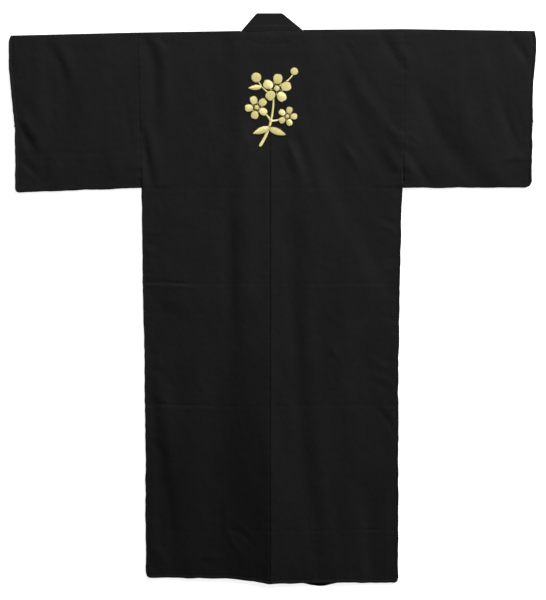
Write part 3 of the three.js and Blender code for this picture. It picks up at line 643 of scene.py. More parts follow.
def wall(name, patches, thick, material):
    # welds the patches of a mid-surface, then builds the closed solid that reaches half of thick to each side
    points, facings, quads = [], [], []
    start = 0
    for places, facing in patches:
        quad = gridQuads(gridOf(places))
        places, facing = places.reshape(-1, 3), facing.reshape(-1, 3)
        corner = places[quad]
        normal = np.cross(corner[:, 2] - corner[:, 0], corner[:, 3] - corner[:, 1])
        turned = (normal * facing[quad[:, 0]]).sum(1) < 0
        quad[turned] = quad[turned][:, ::-1]
        points.append(places)
        facings.append(facing)
        quads.append(quad + start)
        start += len(places)
    points, facings, quads = np.concatenate(points), np.concatenate(facings), np.concatenate(quads)
    keys = np.round(points * weldsPerMillimetre).astype(np.int64)
    _, first, number = np.unique(keys, axis=0, return_index=True, return_inverse=True)
    points, facings, quads = points[first], facings[first], number.reshape(-1)[quads]
    count = len(points)
    # an edge that only one quad has is an open one
    starts, ends = quads.reshape(-1), np.roll(quads, -1, axis=1).reshape(-1)
    real = starts != ends
    starts, ends = starts[real], ends[real]
    rim = ~np.isin(starts * count + ends, ends * count + starts)
    a, b, inner = starts[rim], ends[rim], ~rim
    # the way out of the sheet at each rim place, mitred at corners
    out = unit(np.cross(points[b] - points[a], facings[a] + facings[b]))
    total = np.zeros_like(points)
    np.add.at(total, a, out)
    np.add.at(total, b, out)
    mitre = 2 * total / np.maximum((total**2).sum(1, keepdims=True), edgeRound["mitreLeast"])
    # the last row moves in by inset, or less where the cells are small
    length = np.linalg.norm(points[starts] - points[ends], axis=1)
    shortest = np.full(count, np.inf)
    np.minimum.at(shortest, starts[inner], length[inner])
    np.minimum.at(shortest, ends[inner], length[inner])
    room = np.minimum(edgeRound["inset"], edgeRound["ofCell"] * shortest)
    inset = room.copy()
    np.minimum.at(inset, a, room[b])
    np.minimum.at(inset, b, room[a])
    radius = np.minimum(edgeRound["radius"], edgeRound["ofInset"] * inset)[:, None]
    half, moved = thick / 2, points - mitre * inset[:, None]
    profile = edgeRound["profile"]
    rings = [
        points - mitre * radius * inwards + facings * side * (half - radius * fall)
        for side, steps in ((1, profile), (-1, profile[::-1]))
        for inwards, fall in steps
    ]
    # numbers each ring's rim places after the two full sheets
    rimPlaces = np.unique(a)
    place = np.zeros(count, np.int64)
    place[rimPlaces] = np.arange(len(rimPlaces))
    levels = [2 * count + k * len(rimPlaces) + place for k in range(len(rings))]
    levels = [np.arange(count), *levels, np.arange(count) + count]
    sides = [np.stack([over[b], over[a], under[a], under[b]], -1) for over, under in zip(levels, levels[1:])]
    vertices = [moved + facings * half, moved - facings * half, *(ring[rimPlaces] for ring in rings)]
    faces = [quads, quads[:, ::-1] + count, *sides]
    return meshPiece(name, np.concatenate(vertices), np.concatenate(faces), material)


def meshPiece(name, vertices, faces, material, uv=None):
    # puts millimetre points and their quads into a mesh; a quad with a repeated corner becomes a triangle
    mesh = bpy.data.meshes.new(name)
    places = (vertices + np.array(toFrame)) / 1000
    keep = faces != np.roll(faces, -1, axis=1)
    faces, keep = faces[keep.sum(1) > 2], keep[keep.sum(1) > 2]
    totals = keep.sum(1)
    corners = faces[keep]
    mesh.vertices.add(len(places))
    mesh.vertices.foreach_set("co", places.astype(np.float32).ravel())
    mesh.loops.add(len(corners))
    mesh.loops.foreach_set("vertex_index", corners.astype(np.int32))
    mesh.polygons.add(len(faces))
    mesh.polygons.foreach_set("loop_start", np.concatenate([[0], np.cumsum(totals)[:-1]]).astype(np.int32))
    mesh.polygons.foreach_set("loop_total", totals.astype(np.int32))
    mesh.polygons.foreach_set("use_smooth", np.full(len(faces), True))
    mesh.update(calc_edges=True)
    mesh.validate()
    if uv is not None:
        layer = mesh.uv_layers.new(name="threads")
        layer.data.foreach_set("uv", uv[corners].astype(np.float32).ravel())
    mesh.materials.append(material)
    return addObject(name, mesh)


def newMaterial(name):
    material = bpy.data.materials.new(name)
    material.use_nodes = True
    return material, material.node_tree, material.node_tree.nodes["Principled BSDF"]


def addNode(tree, kind, inputs, operation=None):
    # a node whose inputs are set to numbers, or joined to the outputs that stand in their place
    node = tree.nodes.new("ShaderNode" + kind)
    if operation:
        node.operation = operation
    for name, value in inputs.items():
        if isinstance(value, bpy.types.NodeSocket):
            tree.links.new(value, node.inputs[name])
        else:
            node.inputs[name].default_value = value
    return node


def patchy(tree, place, scale, detail):
    # soft noise, finer along the axes with more scale
    moved = addNode(tree, "Mapping", {"Vector": place, "Scale": scale}).outputs["Vector"]
    return addNode(tree, "TexNoise", {"Vector": moved, "Scale": 1, "Detail": detail}).outputs["Fac"]


def threadBands(tree, place, direction, scale, look):
    # threads side by side: soft bands across one direction
    wave = addNode(tree, "TexWave", {"Vector": place, "Scale": scale, **look})
    wave.wave_type, wave.bands_direction = "BANDS", direction
    return wave.outputs["Fac"]


def colourRamp(tree, value, span, colours):
    ramp = addNode(tree, "ValToRGB", {"Fac": value})
    for stop, place, colour in zip(ramp.color_ramp.elements, span, colours):
        stop.position, stop.color = place, colour
    return ramp.outputs["Color"]


def raiseBump(tree, shader, height, strength, distance):
    bump = addNode(tree, "Bump", {"Height": height, "Strength": strength, "Distance": distance})
    tree.links.new(bump.outputs["Normal"], shader.inputs["Normal"])


# painted shade: each darkening of the colour runs between two places in metres, and from one share to another
cottonLook = {
    "colours": [(0.0075, 0.0075, 0.0078, 1), (0.0125, 0.0125, 0.0129, 1)], "colourSpan": (0.35, 0.75),
    "roughness": 0.78, "specular": 0.13, "threadsPerMetre": 1500, "thread": {"Distortion": 0.4},
    "warp": (900, 45, 1), "weft": (45, 900, 1), "fading": (14, 9, 1), "crumples": (75, 60, 1),
    "fadingShare": 1.2, "slubShare": 1.6, "crumpleShare": 10.0, "bump": (0.35, 0.00025),
    "paintedShadeDown": (0.3, -0.85, 0, 0.24), "paintedShadeLeft": (-0.12, -0.5, 0, 0.19),
    "paintedShadeBySeam": (-0.19, -0.06, 0, 0.17), "paintedSeamShadeDown": (0.3, -0.3, 0, 1),
}


def blackCotton(look):
    # plain weave: two crossed bands of fine threads, thick and thin places along both, and faint fading
    material, tree, shader = newMaterial("blackCotton")
    place = addNode(tree, "TexCoord", {}).outputs["Object"]
    axes = addNode(tree, "SeparateXYZ", {"Vector": place}).outputs

    def combine(operation, a, b):
        return addNode(tree, "Math", {0: a, 1: b}, operation).outputs[0]

    def ramped(axis, span):
        limits = dict(zip(("From Min", "From Max", "To Min", "To Max"), span))
        node = addNode(tree, "MapRange", {"Value": axes[axis], **limits})
        node.interpolation_type = "SMOOTHSTEP"
        return node.outputs["Result"]

    slubs = combine("ADD", patchy(tree, place, look["warp"], 2), patchy(tree, place, look["weft"], 2))
    faded = combine("MULTIPLY", patchy(tree, place, look["fading"], 4), look["fadingShare"])
    worn = combine("DIVIDE", combine("ADD", slubs, faded), 2 + look["fadingShare"])
    colour = colourRamp(tree, worn, look["colourSpan"], look["colours"])
    # painted shade: the colour is made darker towards the hem, most of all on the left panel and beside its
    # seam
    onLeft = combine("LESS_THAN", axes["X"], toFrame[0] / 1000)
    paintedShadeBySeam = combine("MULTIPLY", ramped("X", look["paintedShadeBySeam"]), ramped("Y", look["paintedSeamShadeDown"]))
    panel = combine("MULTIPLY", combine("ADD", paintedShadeBySeam, ramped("Y", look["paintedShadeLeft"])), onLeft)
    unshadedShare = combine("SUBTRACT", 1, combine("ADD", panel, ramped("Y", look["paintedShadeDown"])))
    shadedColour = addNode(tree, "VectorMath", {0: colour, "Scale": unshadedShare}, "SCALE")
    tree.links.new(shadedColour.outputs["Vector"], shader.inputs["Base Color"])
    perMetre = look["threadsPerMetre"] * 2 * math.pi / 20  # a wave texture has 20 bands in 2 pi of its scale
    weave = combine("ADD", *(threadBands(tree, place, way, perMetre, look["thread"]) for way in "XY"))
    crumpled = combine("MULTIPLY", patchy(tree, place, look["crumples"], 3), look["crumpleShare"])
    height = combine("ADD", combine("ADD", weave, combine("MULTIPLY", slubs, look["slubShare"])), crumpled)
    raiseBump(tree, shader, height, *look["bump"])
    shader.inputs["Roughness"].default_value = look["roughness"]
    shader.inputs["Specular IOR Level"].default_value = look["specular"]
    return material


threadLook = {
    "gold": [(0.80, 0.64, 0.17, 1), (0.98, 0.93, 0.47, 1)],
    "cord": [(0.03, 0.018, 0.006, 1), (0.22, 0.14, 0.04, 1)],
    "thread": {"Distortion": 0.6, "Detail": 1}, "skeins": (2.2, 0.12, 1), "skeinSpan": (0.32, 0.68),
    "bump": (0.6, 0.0003), "roughness": 0.38, "metallic": 0.1,
}


def satinThread(name, colours, perMillimetre, look):
    # silky threads side by side: bands across the thread's own direction, with lighter and darker skeins
    material, tree, shader = newMaterial(name)
    place = addNode(tree, "UVMap", {})
    place.uv_map = "threads"
    bands = threadBands(tree, place.outputs["UV"], "X", perMillimetre, look["thread"])
    skeins = patchy(tree, place.outputs["UV"], look["skeins"], 2)
    tree.links.new(colourRamp(tree, skeins, look["skeinSpan"], colours), shader.inputs["Base Color"])
    raiseBump(tree, shader, bands, *look["bump"])
    shader.inputs["Roughness"].default_value = look["roughness"]
    shader.inputs["Metallic"].default_value = look["metallic"]
    return material


cotton = blackCotton(cottonLook)
goldThread = satinThread("goldThread", threadLook["gold"], 0.35, threadLook)
goldCord = satinThread("goldCord", threadLook["cord"], 0.5, threadLook)
print("materials made")


flangeRows = {"wide": 5, "shares": (0, 0.12, 0.4, 1), "sinkReach": 2}


def flange(edge, out, sink, taper=1.0):
    # a narrow strip from an edge, along out, that sinks by a little to lie under the next piece
    reach = np.array(flangeRows["shares"]) * flangeRows["wide"]
    sunk = np.minimum(1, reach / flangeRows["sinkReach"])[:, None] * sink * up
    strip = edge[:, None, :] + (reach * np.reshape(taper, (-1, 1)))[..., None] * out - sunk
    return patchOf(strip, up)


bodyGrid = {
    "step": 5.0, "centreCells": (seamGap / 2, 1.5, 3, 4.5), "neckFrom": 6.5, "neckStep": 3.0,
    "armholeCells": (3, 1.5, 0), "armholeFrom": 5, "topCells": (0, 1.2), "topFrom": 2.5, "topReach": 60,
    "topStep": 2.5, "hemReach": 16, "hemStep": 2, "pressedOver": 0.5, "pressedReach": (-10, 14),
    "pressedStep": 2.5, "rowStep": 1.25, "clearOfSleeve": 20, "clearOfHem": 30, "cornerRound": 9.0,
    "cornerTurn": 0.98, "neckTaper": 8, "underNeck": (4.0, 0, -0.6), "neckSink": 1.0, "seamSink": 0.9,
}


def bodyRows(grid):
    # drops of the rows above and below the underarm, with more where a strong pressed crease crosses
    under, hem, step = cut["sleeveDrop"], cut["hemDrop"], grid["step"]
    nearTop = (grid["topFrom"], grid["topReach"], grid["topStep"])
    upper = np.concatenate([grid["topCells"], stretches(nearTop, (grid["topReach"], under, step))])
    hemFrom = hem - grid["hemReach"]
    lower = [stretches((under, hemFrom, step), (hemFrom, hem, grid["hemStep"]))]
    for row in pressed:
        if row["deep"] > grid["pressedOver"]:
            first, last = (end - row["y"] for end in grid["pressedReach"])
            crossing = np.arange(first, last, grid["pressedStep"])
            clear = (crossing > under + grid["clearOfSleeve"]) & (crossing < hem - grid["clearOfHem"])
            lower.append(crossing[clear])
    return upper, np.unique(np.round(np.concatenate(lower) / grid["rowStep"]) * grid["rowStep"])


def belowUnderarm(drop):
    # 0 at the underarm and 1 at the hem
    return (drop - cut["sleeveDrop"]) / (cut["hemDrop"] - cut["sleeveDrop"])


def rowY(top, hem, drop):
    # rows are spread evenly from the top to the underarm, and from there to the hem
    under = cut["sleeveDrop"]
    return np.where(drop < under, mix(top, -under, drop / under), mix(-under, hem, belowUnderarm(drop)))


def bodyPanel(name, half, grid):
    # one strip: up the back, over the shoulder, round the side seam and down the front
    way, neckHalf = half["way"], half["neckHalf"]
    outwards = np.array([way * 1.0, 0, 0])
    neck = np.concatenate([grid["centreCells"], stretches((grid["neckFrom"], neckHalf, grid["neckStep"]))])
    wide = bodyHalf(half, 0) - neckHalf
    cells = stretches((0, wide - grid["armholeFrom"], grid["step"]))
    shares = np.concatenate([cells, wide - np.array(grid["armholeCells"])]) / wide
    upper, lower = bodyRows(grid)
    drops = np.concatenate([upper, lower[1:]])
    drop, underarm = drops[:, None], len(upper) - 1

    def backGrid(out):
        x = way * out
        y = rowY(np.where(out < neckHalf, neckEdgeY(x), foldStartY(half, x)), hemY(x), drop)
        return stack(x, y, backLevel(x, np.where(drop == 0, shoulderY(x), y)))

    # the back's side: the armhole, then as far in as the side's round edge needs, with a rounded hem corner
    farthest = bodyHalf(half, drop)
    inset = np.where(drop < cut["sleeveDrop"], 0, edgeRadius(half, way * farthest, -drop) + clothThick / 2)
    corner = np.clip((drop - cut["hemDrop"]) / grid["cornerRound"] + 1, 0, 1)
    inset += grid["cornerRound"] * (1 - np.sqrt(1 - grid["cornerTurn"] * corner**2))
    inner = backGrid(np.broadcast_to(neck, (len(drops), len(neck))))
    outer = backGrid(mix(neckHalf, farthest - inset, shares[None, :]))
    top, side = outer[0], outer[underarm:, -1]
    topFoot = frontLevel(half, top[:, 0], top[:, 1])
    frontY = side[:, 1] + cut["frontHemShort"] * belowUnderarm(lower)
    sideTop = stack(side[:, 0], frontY, side[:, 2])
    sideFoot = frontLevel(half, side[:, 0], frontY)

    # the front's rows end on the armhole above the underarm and on the side's round edge below it
    seam = collarSeamX(half, np.minimum(drop, cut["overlapStart"])) + way * seamGap / 2
    end = np.concatenate([way * bodyHalf(half, upper[:-1]), side[:, 0]])[:, None]
    x = mix(seam, end, shares[None, :])
    x[0] = top[:, 0]
    y = rowY(foldStartY(half, x), hemY(x) + cut["frontHemShort"], drop)
    y[0], y[underarm:, -1] = top[:, 1], frontY
    front = stack(x, y, frontLevel(half, x, y))
    front[0, :, 2] = topFoot
    patches = [patchOf(inner, up), patchOf(outer, up), roundEdge(top, topFoot, back)]
    patches += [roundEdge(sideTop, sideFoot, outwards), patchOf(front, down)]
    # seam allowances that reach under the collar and the sleeve, and the left panel's under the right one
    neckLine = inner[0]
    if half is left:
        neckLine = np.concatenate([inner[:1, 0] + np.array(grid["underNeck"]), inner[0]])
    nearFold = np.clip((neckHalf - np.abs(neckLine[:, 0])) / grid["neckTaper"], 0, 1)
    patches.append(flange(neckLine, back, grid["neckSink"], nearFold))
    patches.append(flange(outer[: underarm + 1, -1], outwards, grid["seamSink"]))
    if half is left:
        patches.append(flange(inner[:, 0], -outwards, grid["seamSink"]))
    return wall(name, patches, clothThick, cotton)


bodies = [bodyPanel("bodyLeft", left, bodyGrid), bodyPanel("bodyRight", right, bodyGrid)]
print("body panels made")


overlapLook = {"step": 8, "columns": 24, "belowTip": 8, "evenUntil": 1300, "dipX": 130, "dipSpread": 42}


def overlapPanel(name, half, look):
    # a tapered strip: its tip meets the collar, and the left one's hem dips a little
    way = half["way"]
    drop = stretches((cut["overlapStart"] + look["belowTip"], cut["hemDrop"], look["step"]))[:, None]
    collarSide = collarSeamX(half, np.minimum(drop, cut["collarDrop"])) + way * seamGap
    side = np.where(drop < cut["collarDrop"], collarSide, -way * (half["pastCentre"] - seamGap))
    seam = collarSeamX(half, cut["overlapStart"]) - way * seamGap / 2
    x = mix(seam, side, np.linspace(0, 1, look["columns"])[None, :])
    dip = groove(x - look["dipX"], half["hemDip"], look["dipSpread"])
    share = np.maximum(0, drop - look["evenUntil"]) / (cut["hemDrop"] - look["evenUntil"])
    y = mix(-np.minimum(drop, look["evenUntil"]), hemY(x) + cut["frontHemShort"] / 2 + dip, share)
    return wall(name, [patchOf(stack(x, y, frontLevel(half, x, y)), down)], clothThick, cotton)


overlaps = [overlapPanel("overlapLeft", left, overlapLook), overlapPanel("overlapRight", right, overlapLook)]
print("overlap panels made")


sleeveGrid = {
    "step": 5.0, "seamCells": (0, 1.5, 3), "seamFrom": 5, "cuffReach": 24, "hemReach": 20, "fineStep": 2,
    "strayStart": (0, 0.2),
}


def sleeve(name, half, grid):
    # a strip folded at the shoulder line and sewn along the bottom and up the cuff to its opening
    way, drop, corner = half["way"], cut["sleeveDrop"], half["cornerRound"]
    long = half["cuff"][-1]["out"] - bodyHalf(half, drop)
    cuffFrom, fine = long - grid["cuffReach"], grid["fineStep"]
    columns = stretches((grid["seamFrom"], cuffFrom, grid["step"]), (cuffFrom, long, fine))
    out = np.concatenate([grid["seamCells"], columns]) / long
    opening, hemFrom, step = cut["cuffOpening"] / drop, 1 - grid["hemReach"] / drop, grid["step"] / drop
    rows = stretches((0, opening, step), (opening, hemFrom, step), (hemFrom, 1, fine / drop))
    downShare, outShare = np.meshgrid(rows, out, indexing="ij")
    fall = downShare * drop
    # the lower cuff corner is drawn in along a round
    pastCorner = np.maximum(0, np.minimum(outShare * long - (long - corner), fall - (drop - corner)))
    cornerIn = pastCorner * (1 - math.sqrt(0.5))
    cuff = cuffOut(half, fall)
    cuff -= (edgeRadius(half, way * cuff, -fall) + clothThick / 2) * (fall >= cut["cuffOpening"])
    x = way * (mix(bodyHalf(half, fall) + seamGap, cuff, outShare) - cornerIn)
    started = smoothStep(outShare, *grid["strayStart"])
    stray = started * waves(outShare * long, edgeStray, cut["sleeveHemSeed"])
    bottom = mix(-drop, half["cuffBottom"], outShare) + stray
    y = mix(foldStartY(half, x), bottom + edgeRadius(half, x, bottom) + clothThick / 2, downShare) + cornerIn
    top = stack(x, y, backLevel(x, np.where(downShare == 0, shoulderY(x), y)))
    under = stack(x, y, clothThick / 2)
    # the sewn edge: along the bottom, then up the cuff as far as its opening
    openRows = len(stretches((0, opening, step)))
    line = np.concatenate([top[-1], top[openRows - 1 : -1, -1][::-1]])
    along = np.concatenate([line[1:], line[-1:]]) - np.concatenate([line[:1], line[:-1]])
    away = unit(way * stack(along[:, 1], -along[:, 0], 0))
    level = clothThick / 2
    edges = [roundEdge(places, level, facing) for places, facing in ((top[0], back), (line, away))]
    return wall(name, [patchOf(top, up), patchOf(under, down), *edges], clothThick, cotton)


sleeves = [sleeve("sleeveLeft", left, sleeveGrid), sleeve("sleeveRight", right, sleeveGrid)]
print("sleeves made")


collarLook = {
    "acrossSteps": 22, "alongStep": 7.0, "backSteps": 44, "overBack": -0.85, "allowanceStep": 0.7,
    "allowanceEdge": (12, 16), "wave": 0.18, "waveSize": (22, 14), "waveSeed": 31, "endFade": 0.12,
    "slantUntil": 147,
}


def collar(look):
    # a long band: flat across the back of the neck, folded at both sides of it, then down both fronts
    shares = np.linspace(0, 1, look["acrossSteps"])
    bandZ = float(backLevel(np.array(neckMiddle), neckEdgeY(neckMiddle))) + look["overBack"]
    inward = bandZ / 2 + bandThick / 4
    patches, ends = [], []
    for half in (left, right):
        way = half["way"]
        low = np.array([way * half["neckHalf"], float(neckEdgeY(way * half["neckHalf"])) + seamGap])
        high = np.array([way * cut["bandTopHalf"], cut["bandTop"]])
        along = unit(high - low)
        out = way * np.array([along[1], -along[0], 0])
        move = np.array([-inward / out[0], 0])
        ends.append((low + move, high + move, np.array([1 / out[0], 0, 0])))
    # across the back: its seam's allowance shows as a step, and it waves a little between the folds
    across = np.linspace(0, 1, look["backSteps"])[:, None, None]
    seam, free = mix(ends[0][0], ends[1][0], across), mix(ends[0][1], ends[1][1], across)
    flat = mix(seam, free, shares[None, :, None])
    x, y, share = flat[..., 0], flat[..., 1], across[..., 0]
    rise = look["allowanceStep"] * fading(y - y[:, :1], *look["allowanceEdge"])
    rise += look["wave"] * wander(x, y, *look["waveSize"], look["waveSeed"]) * np.sin(np.pi * share)
    fadeEnds = smoothStep(share, 0, look["endFade"]) * smoothStep(1 - share, 0, look["endFade"])
    patches.append(patchOf(stack(x, y, bandZ + rise * fadeEnds), up))
    # each fold, and the leg below it
    for half, (seamEnd, freeEnd, out) in zip((left, right), ends):
        line = mix(seamEnd, freeEnd, shares[:, None])
        legZ = frontFoot(half, line[:, 0], line[:, 1]) + bandThick / 2
        patches.append(roundEdge(stack(line[:, 0], line[:, 1], bandZ), legZ, out))
        drop = stretches((0, cut["collarDrop"], look["alongStep"]))
        seamLine = np.stack([collarSeamX(half, drop), -drop], -1)
        seamLine[0] = seamEnd
        forward = unit(np.gradient(seamLine, axis=0))
        wide = mix(cut["bandWide"], cut["bandEndWide"], drop / cut["collarDrop"])[:, None]
        square = seamLine + half["way"] * wide * np.stack([forward[:, 1], -forward[:, 0]], -1)
        slanted = freeEnd + np.stack([0 * drop, -drop], -1)
        freeLine = mix(slanted, square, smoothStep(drop, 0, look["slantUntil"])[:, None])
        leg = mix(seamLine[:, None, :], freeLine[:, None, :], shares[None, :, None])
        level = frontFoot(half, leg[..., 0], leg[..., 1]) + bandThick / 2
        patches.append(patchOf(stack(leg[..., 0], leg[..., 1], level), down))
    return wall("collarBand", patches, bandThick, cotton)


collarBand = collar(collarLook)
print("collar made")


def crescent(look):
    # half an oval of cloth under the back's neck edge, following the back
    low, high = look["inset"] - left["neckHalf"], right["neckHalf"] - look["inset"]
    x = stretches((low, high, look["step"]))[:, None]
    deep = mix(look["endDeep"], cut["crescentDeep"], ovalOf(x, look["inset"]))
    y = neckEdgeY(x) - seamGap - deep * np.linspace(0, 1, look["rows"])[None, :]
    x = np.broadcast_to(x, y.shape)
    z = backUnderside(x, y) - patchThick / 2 - layers["patchGap"]
    return wall("neckCrescent", [patchOf(stack(x, y, z), up)], patchThick, cotton)


crescentPatch = crescent(crescentLook)


motif = {
    "thick": 1.0, "heartThick": 1.2, "knotThick": 1.3, "foot": -0.3, "cord": 0.6, "cordSides": 6,
    "cordLift": 0.36, "petals": 5, "petalOut": 0.62, "petalSize": 0.345, "notch": (0.05, 0.3),
    "fanThreads": 22, "heartSize": 0.2, "heartTurn": 90, "budTurn": 70, "stamenOut": 0.42, "stamenTurn": 0.63,
    "stamenWide": 1.4, "stamenHigh": 1.3, "knotSize": 0.045, "leafMiddle": 0.45, "slant": (0.8, 0.6),
    "twigHigh": 0.6, "twigSteps": 60, "twigEnds": 30, "twigTip": 0.05, "petalWaves": (0.1, 0.08),
    "leafBend": 0.4, "cordTwist": 0.3, "padRings": (1, 1, 0.97, 0.9, 0.78, 0.6, 0.4, 0.2, 0),
    "padDome": (2.4, 0.55), "twigRows": (-1, -1, -0.85, -0.5, 0, 0.5, 0.85, 1, 1), "twigDome": (2.2, 0.5),
}
blossoms = table("x y radius turn", (15, 42, 38, 12), (-37, -7, 31, 40), (42, -30, 26, 0))
buds = table("x y radius", (-38, 70, 13), (60, 86, 10))
leaves = table("x y length wide turn", (1, -57, 52, 18, 200), (-9, -59, 52, 18, -22), (-22, 46, 38, 14, 185))
twigs = table(
    "start bend end wide", ((-30, -108), (7, -55), (6, 22), 8), ((-1, -42), (16, -42), (38, -33), 6),
    ((-1, -42), (-12, -22), (-33, -9), 6), ((6, 22), (-24, 38), (-38, 70), 5),
    ((22, 48), (50, 62), (60, 86), 5),
)
around = np.linspace(0, 2 * np.pi, 97)[:-1]
threadPads, cordRings, stamens = [], [], []


def onCloth(places, height):
    # places of the design, at the given height over the back's upper side
    x, y = places[..., 0] + motifFlat["centre"][0], places[..., 1] + motifFlat["centre"][1]
    return stack(x, y, backLevel(x, y, sewn=False) + clothThick / 2 + height)


def outBy(reach, angle):
    # a distance in a direction, as across and up
    return np.stack([reach * np.cos(angle), reach * np.sin(angle)], -1)


def turnedBy(places, degrees):
    c, s = math.cos(math.radians(degrees)), math.sin(math.radians(degrees))
    return np.stack([places[..., 0] * c - places[..., 1] * s, places[..., 0] * s + places[..., 1] * c], -1)


def addPad(places, last, faces, uv):
    # keeps a grid's points and a last one, the faces between them, and the way that each one's thread runs
    points = np.concatenate([places.reshape(-1, 3), last[None]])
    threadPads.append((points, np.concatenate(faces), np.concatenate([uv.reshape(-1, 2), uv[0, :1]])))


def domed(share, high, full, rounding):
    # high in the middle and 0 where share is 1
    return high * (1 - np.abs(share) ** full) ** rounding


def pad(rim, centre, thick, threadOf):
    # a domed cushion of thread: rings drawn in from the rim to the centre, and a flat underside
    shares = np.array(motif["padRings"])
    heights = domed(shares, thick, *motif["padDome"])
    heights[0] = motif["foot"]
    rings = centre + (rim - centre)[None] * shares[:, None, None]
    places = onCloth(rings, heights[:, None])
    number = gridOf(places)
    middle = np.full(len(rim), number.size)
    number[-1] = number[-1, 0]
    number = np.pad(number, ((0, 0), (0, 1)), mode="wrap")
    faces = [gridQuads(number), np.stack([number[0, 1:], number[0, :-1], middle, middle], -1)]
    addPad(places, places[0].mean(0), faces, threadOf(rings))
    cordRings.append(rim)


def disc(centre, radius, thick, turn):
    # a round pad with its threads side by side along one direction
    pad(centre + outBy(radius, around), centre, thick, lambda places: turnedBy(places, -turn)[..., ::-1])


def wrapped(angle):
    # the same angle, between half a turn back and half a turn on
    return (angle + np.pi) % (2 * np.pi) - np.pi


def blossom(middle, radius, turn):
    # notched petals whose threads fan out from the middle, round a small heart, with stamens between them
    once, twice = motif["petalWaves"]
    for k in range(motif["petals"]):
        angle = math.radians(turn + 360 / motif["petals"] * k)
        petal = middle + outBy(motif["petalOut"] * radius, angle)
        oval = 1 + once * np.cos(around) + twice * np.cos(2 * around)
        reach = radius * (motif["petalSize"] * oval + groove(wrapped(around), *motif["notch"]))

        def fan(places):
            x, y = places[..., 0] - middle[0], places[..., 1] - middle[1]
            return np.stack([wrapped(np.arctan2(y, x) - angle) * motif["fanThreads"], np.hypot(x, y)], -1)

        pad(petal + outBy(reach, around + angle), petal, motif["thick"], fan)
        tip = middle + outBy(motif["stamenOut"] * radius, angle + motif["stamenTurn"])
        stamens.append((middle, tip, motif["knotSize"] * radius))
    disc(middle, motif["heartSize"] * radius, motif["thick"] * motif["heartThick"], motif["heartTurn"])


def leaf(base, length, wide, turn):
    # two curved sides that meet in points, with threads slanting from the midrib
    t = 0.5 - 0.5 * np.cos(around)
    side = np.sign(np.sin(around)) * wide * 2 * t * (1 - t)
    long = length * (t**2 + 2 * t * (1 - t) * motif["leafBend"])
    steep, flat = motif["slant"]

    def slanting(places):
        local = turnedBy(places - base, -turn)
        forward, beside = local[..., 0], local[..., 1]
        return np.stack([steep * forward - flat * np.abs(beside), steep * beside + flat * forward], -1)

    centre = base + turnedBy(np.array([motif["leafMiddle"] * length, 0]), turn)
    pad(base + turnedBy(np.stack([long, side], -1), turn), centre, motif["thick"], slanting)


def twig(start, bend, end, wide, high):
    # a tapering stroke along a bent line, half round in section, with threads across it
    t = np.linspace(0, 1, motif["twigSteps"])[:, None]
    line = (1 - t) ** 2 * np.array(start) + 2 * t * (1 - t) * np.array(bend) + t**2 * np.array(end)
    forward = unit(np.gradient(line, axis=0))
    aside = np.stack([-forward[:, 1], forward[:, 0]], -1)
    ends = np.clip(np.minimum(t, 1 - t) * motif["twigEnds"], motif["twigTip"], 1) ** 0.5
    across = np.array(motif["twigRows"])
    heights = domed(across, high, *motif["twigDome"])
    heights[[0, -1]] = motif["foot"]
    beside = across * wide * (1 - t / 2) / 2 * ends
    places = onCloth(line[:, None, :] + aside[:, None, :] * beside[..., None], heights)
    length = np.concatenate([[0], np.cumsum(np.linalg.norm(np.diff(line, axis=0), axis=1))])
    number = gridOf(places)
    faces = [gridQuads(number)[:, ::-1]]
    faces.append(np.stack([number[:-1, -1], number[1:, -1], number[1:, 0], number[:-1, 0]], -1))
    # its two ends, in strips from side to side
    for edge in (number[0, ::-1], number[-1]):
        near, far = edge[: len(edge) // 2 + 1], edge[len(edge) // 2 :][::-1]
        faces.append(np.stack([near[:-1], near[1:], far[1:], far[:-1]], -1))
    addPad(places, places[0, 0], faces, np.stack([length[:, None] + 0.5 * beside, beside], -1))


def cordRing(rim, radius):
    # a thin cord laid round a rim: a small circle carried along it
    forward = unit(np.roll(rim, -1, axis=0) - np.roll(rim, 1, axis=0))
    aside = np.stack([forward[:, 1], -forward[:, 0]], -1)
    turn = np.linspace(0, 2 * np.pi, motif["cordSides"] + 1)[:-1, None]
    flat = rim + aside * radius * np.cos(turn)[..., None]
    places = onCloth(flat, motif["cordLift"] + radius * np.sin(turn))
    number = np.pad(gridOf(places), ((0, 1), (0, 1)), mode="wrap")
    length = np.arange(len(rim)) * np.linalg.norm(rim[1] - rim[0])
    uv = np.stack(np.broadcast_arrays(length, motif["cordTwist"] * np.arange(len(turn))[:, None]), -1)
    return places.reshape(-1, 3), gridQuads(number), uv.reshape(-1, 2)


def placeOf(row):
    return np.array([row["x"], row["y"]])


for row in blossoms:
    blossom(placeOf(row), row["radius"], row["turn"])
for row in buds:
    disc(placeOf(row), row["radius"], motif["thick"], motif["budTurn"])
for row in leaves:
    leaf(placeOf(row), row["length"], row["wide"], row["turn"])
for row in twigs:
    twig(**row, high=motif["twigHigh"])
for root, tip, knot in stamens:
    twig(root, (root + tip) / 2, tip, motif["stamenWide"], motif["stamenHigh"])
    disc(tip, knot, motif["thick"] * motif["knotThick"], 0)


def joinedPiece(name, parts, material):
    # one mesh of several closed bodies, each numbered on from the one before, with faces turned outwards
    starts = np.cumsum([0] + [len(points) for points, _, _ in parts[:-1]])
    faces = np.concatenate([face + start for (_, face, _), start in zip(parts, starts)])
    points, uv = (np.concatenate([part[k] for part in parts]) for k in (0, 2))
    piece = meshPiece(name, points, faces, material, uv)
    shape = bmesh.new()
    shape.from_mesh(piece.data)
    bmesh.ops.delete(shape, geom=[v for v in shape.verts if not v.link_faces], context="VERTS")
    bmesh.ops.recalc_face_normals(shape, faces=shape.faces)
    shape.to_mesh(piece.data)
    shape.free()
    return piece


spray = joinedPiece("blossomThreads", threadPads, goldThread)
outline = joinedPiece("blossomCords", [cordRing(rim, motif["cord"]) for rim in cordRings], goldCord)
print("embroidery made")


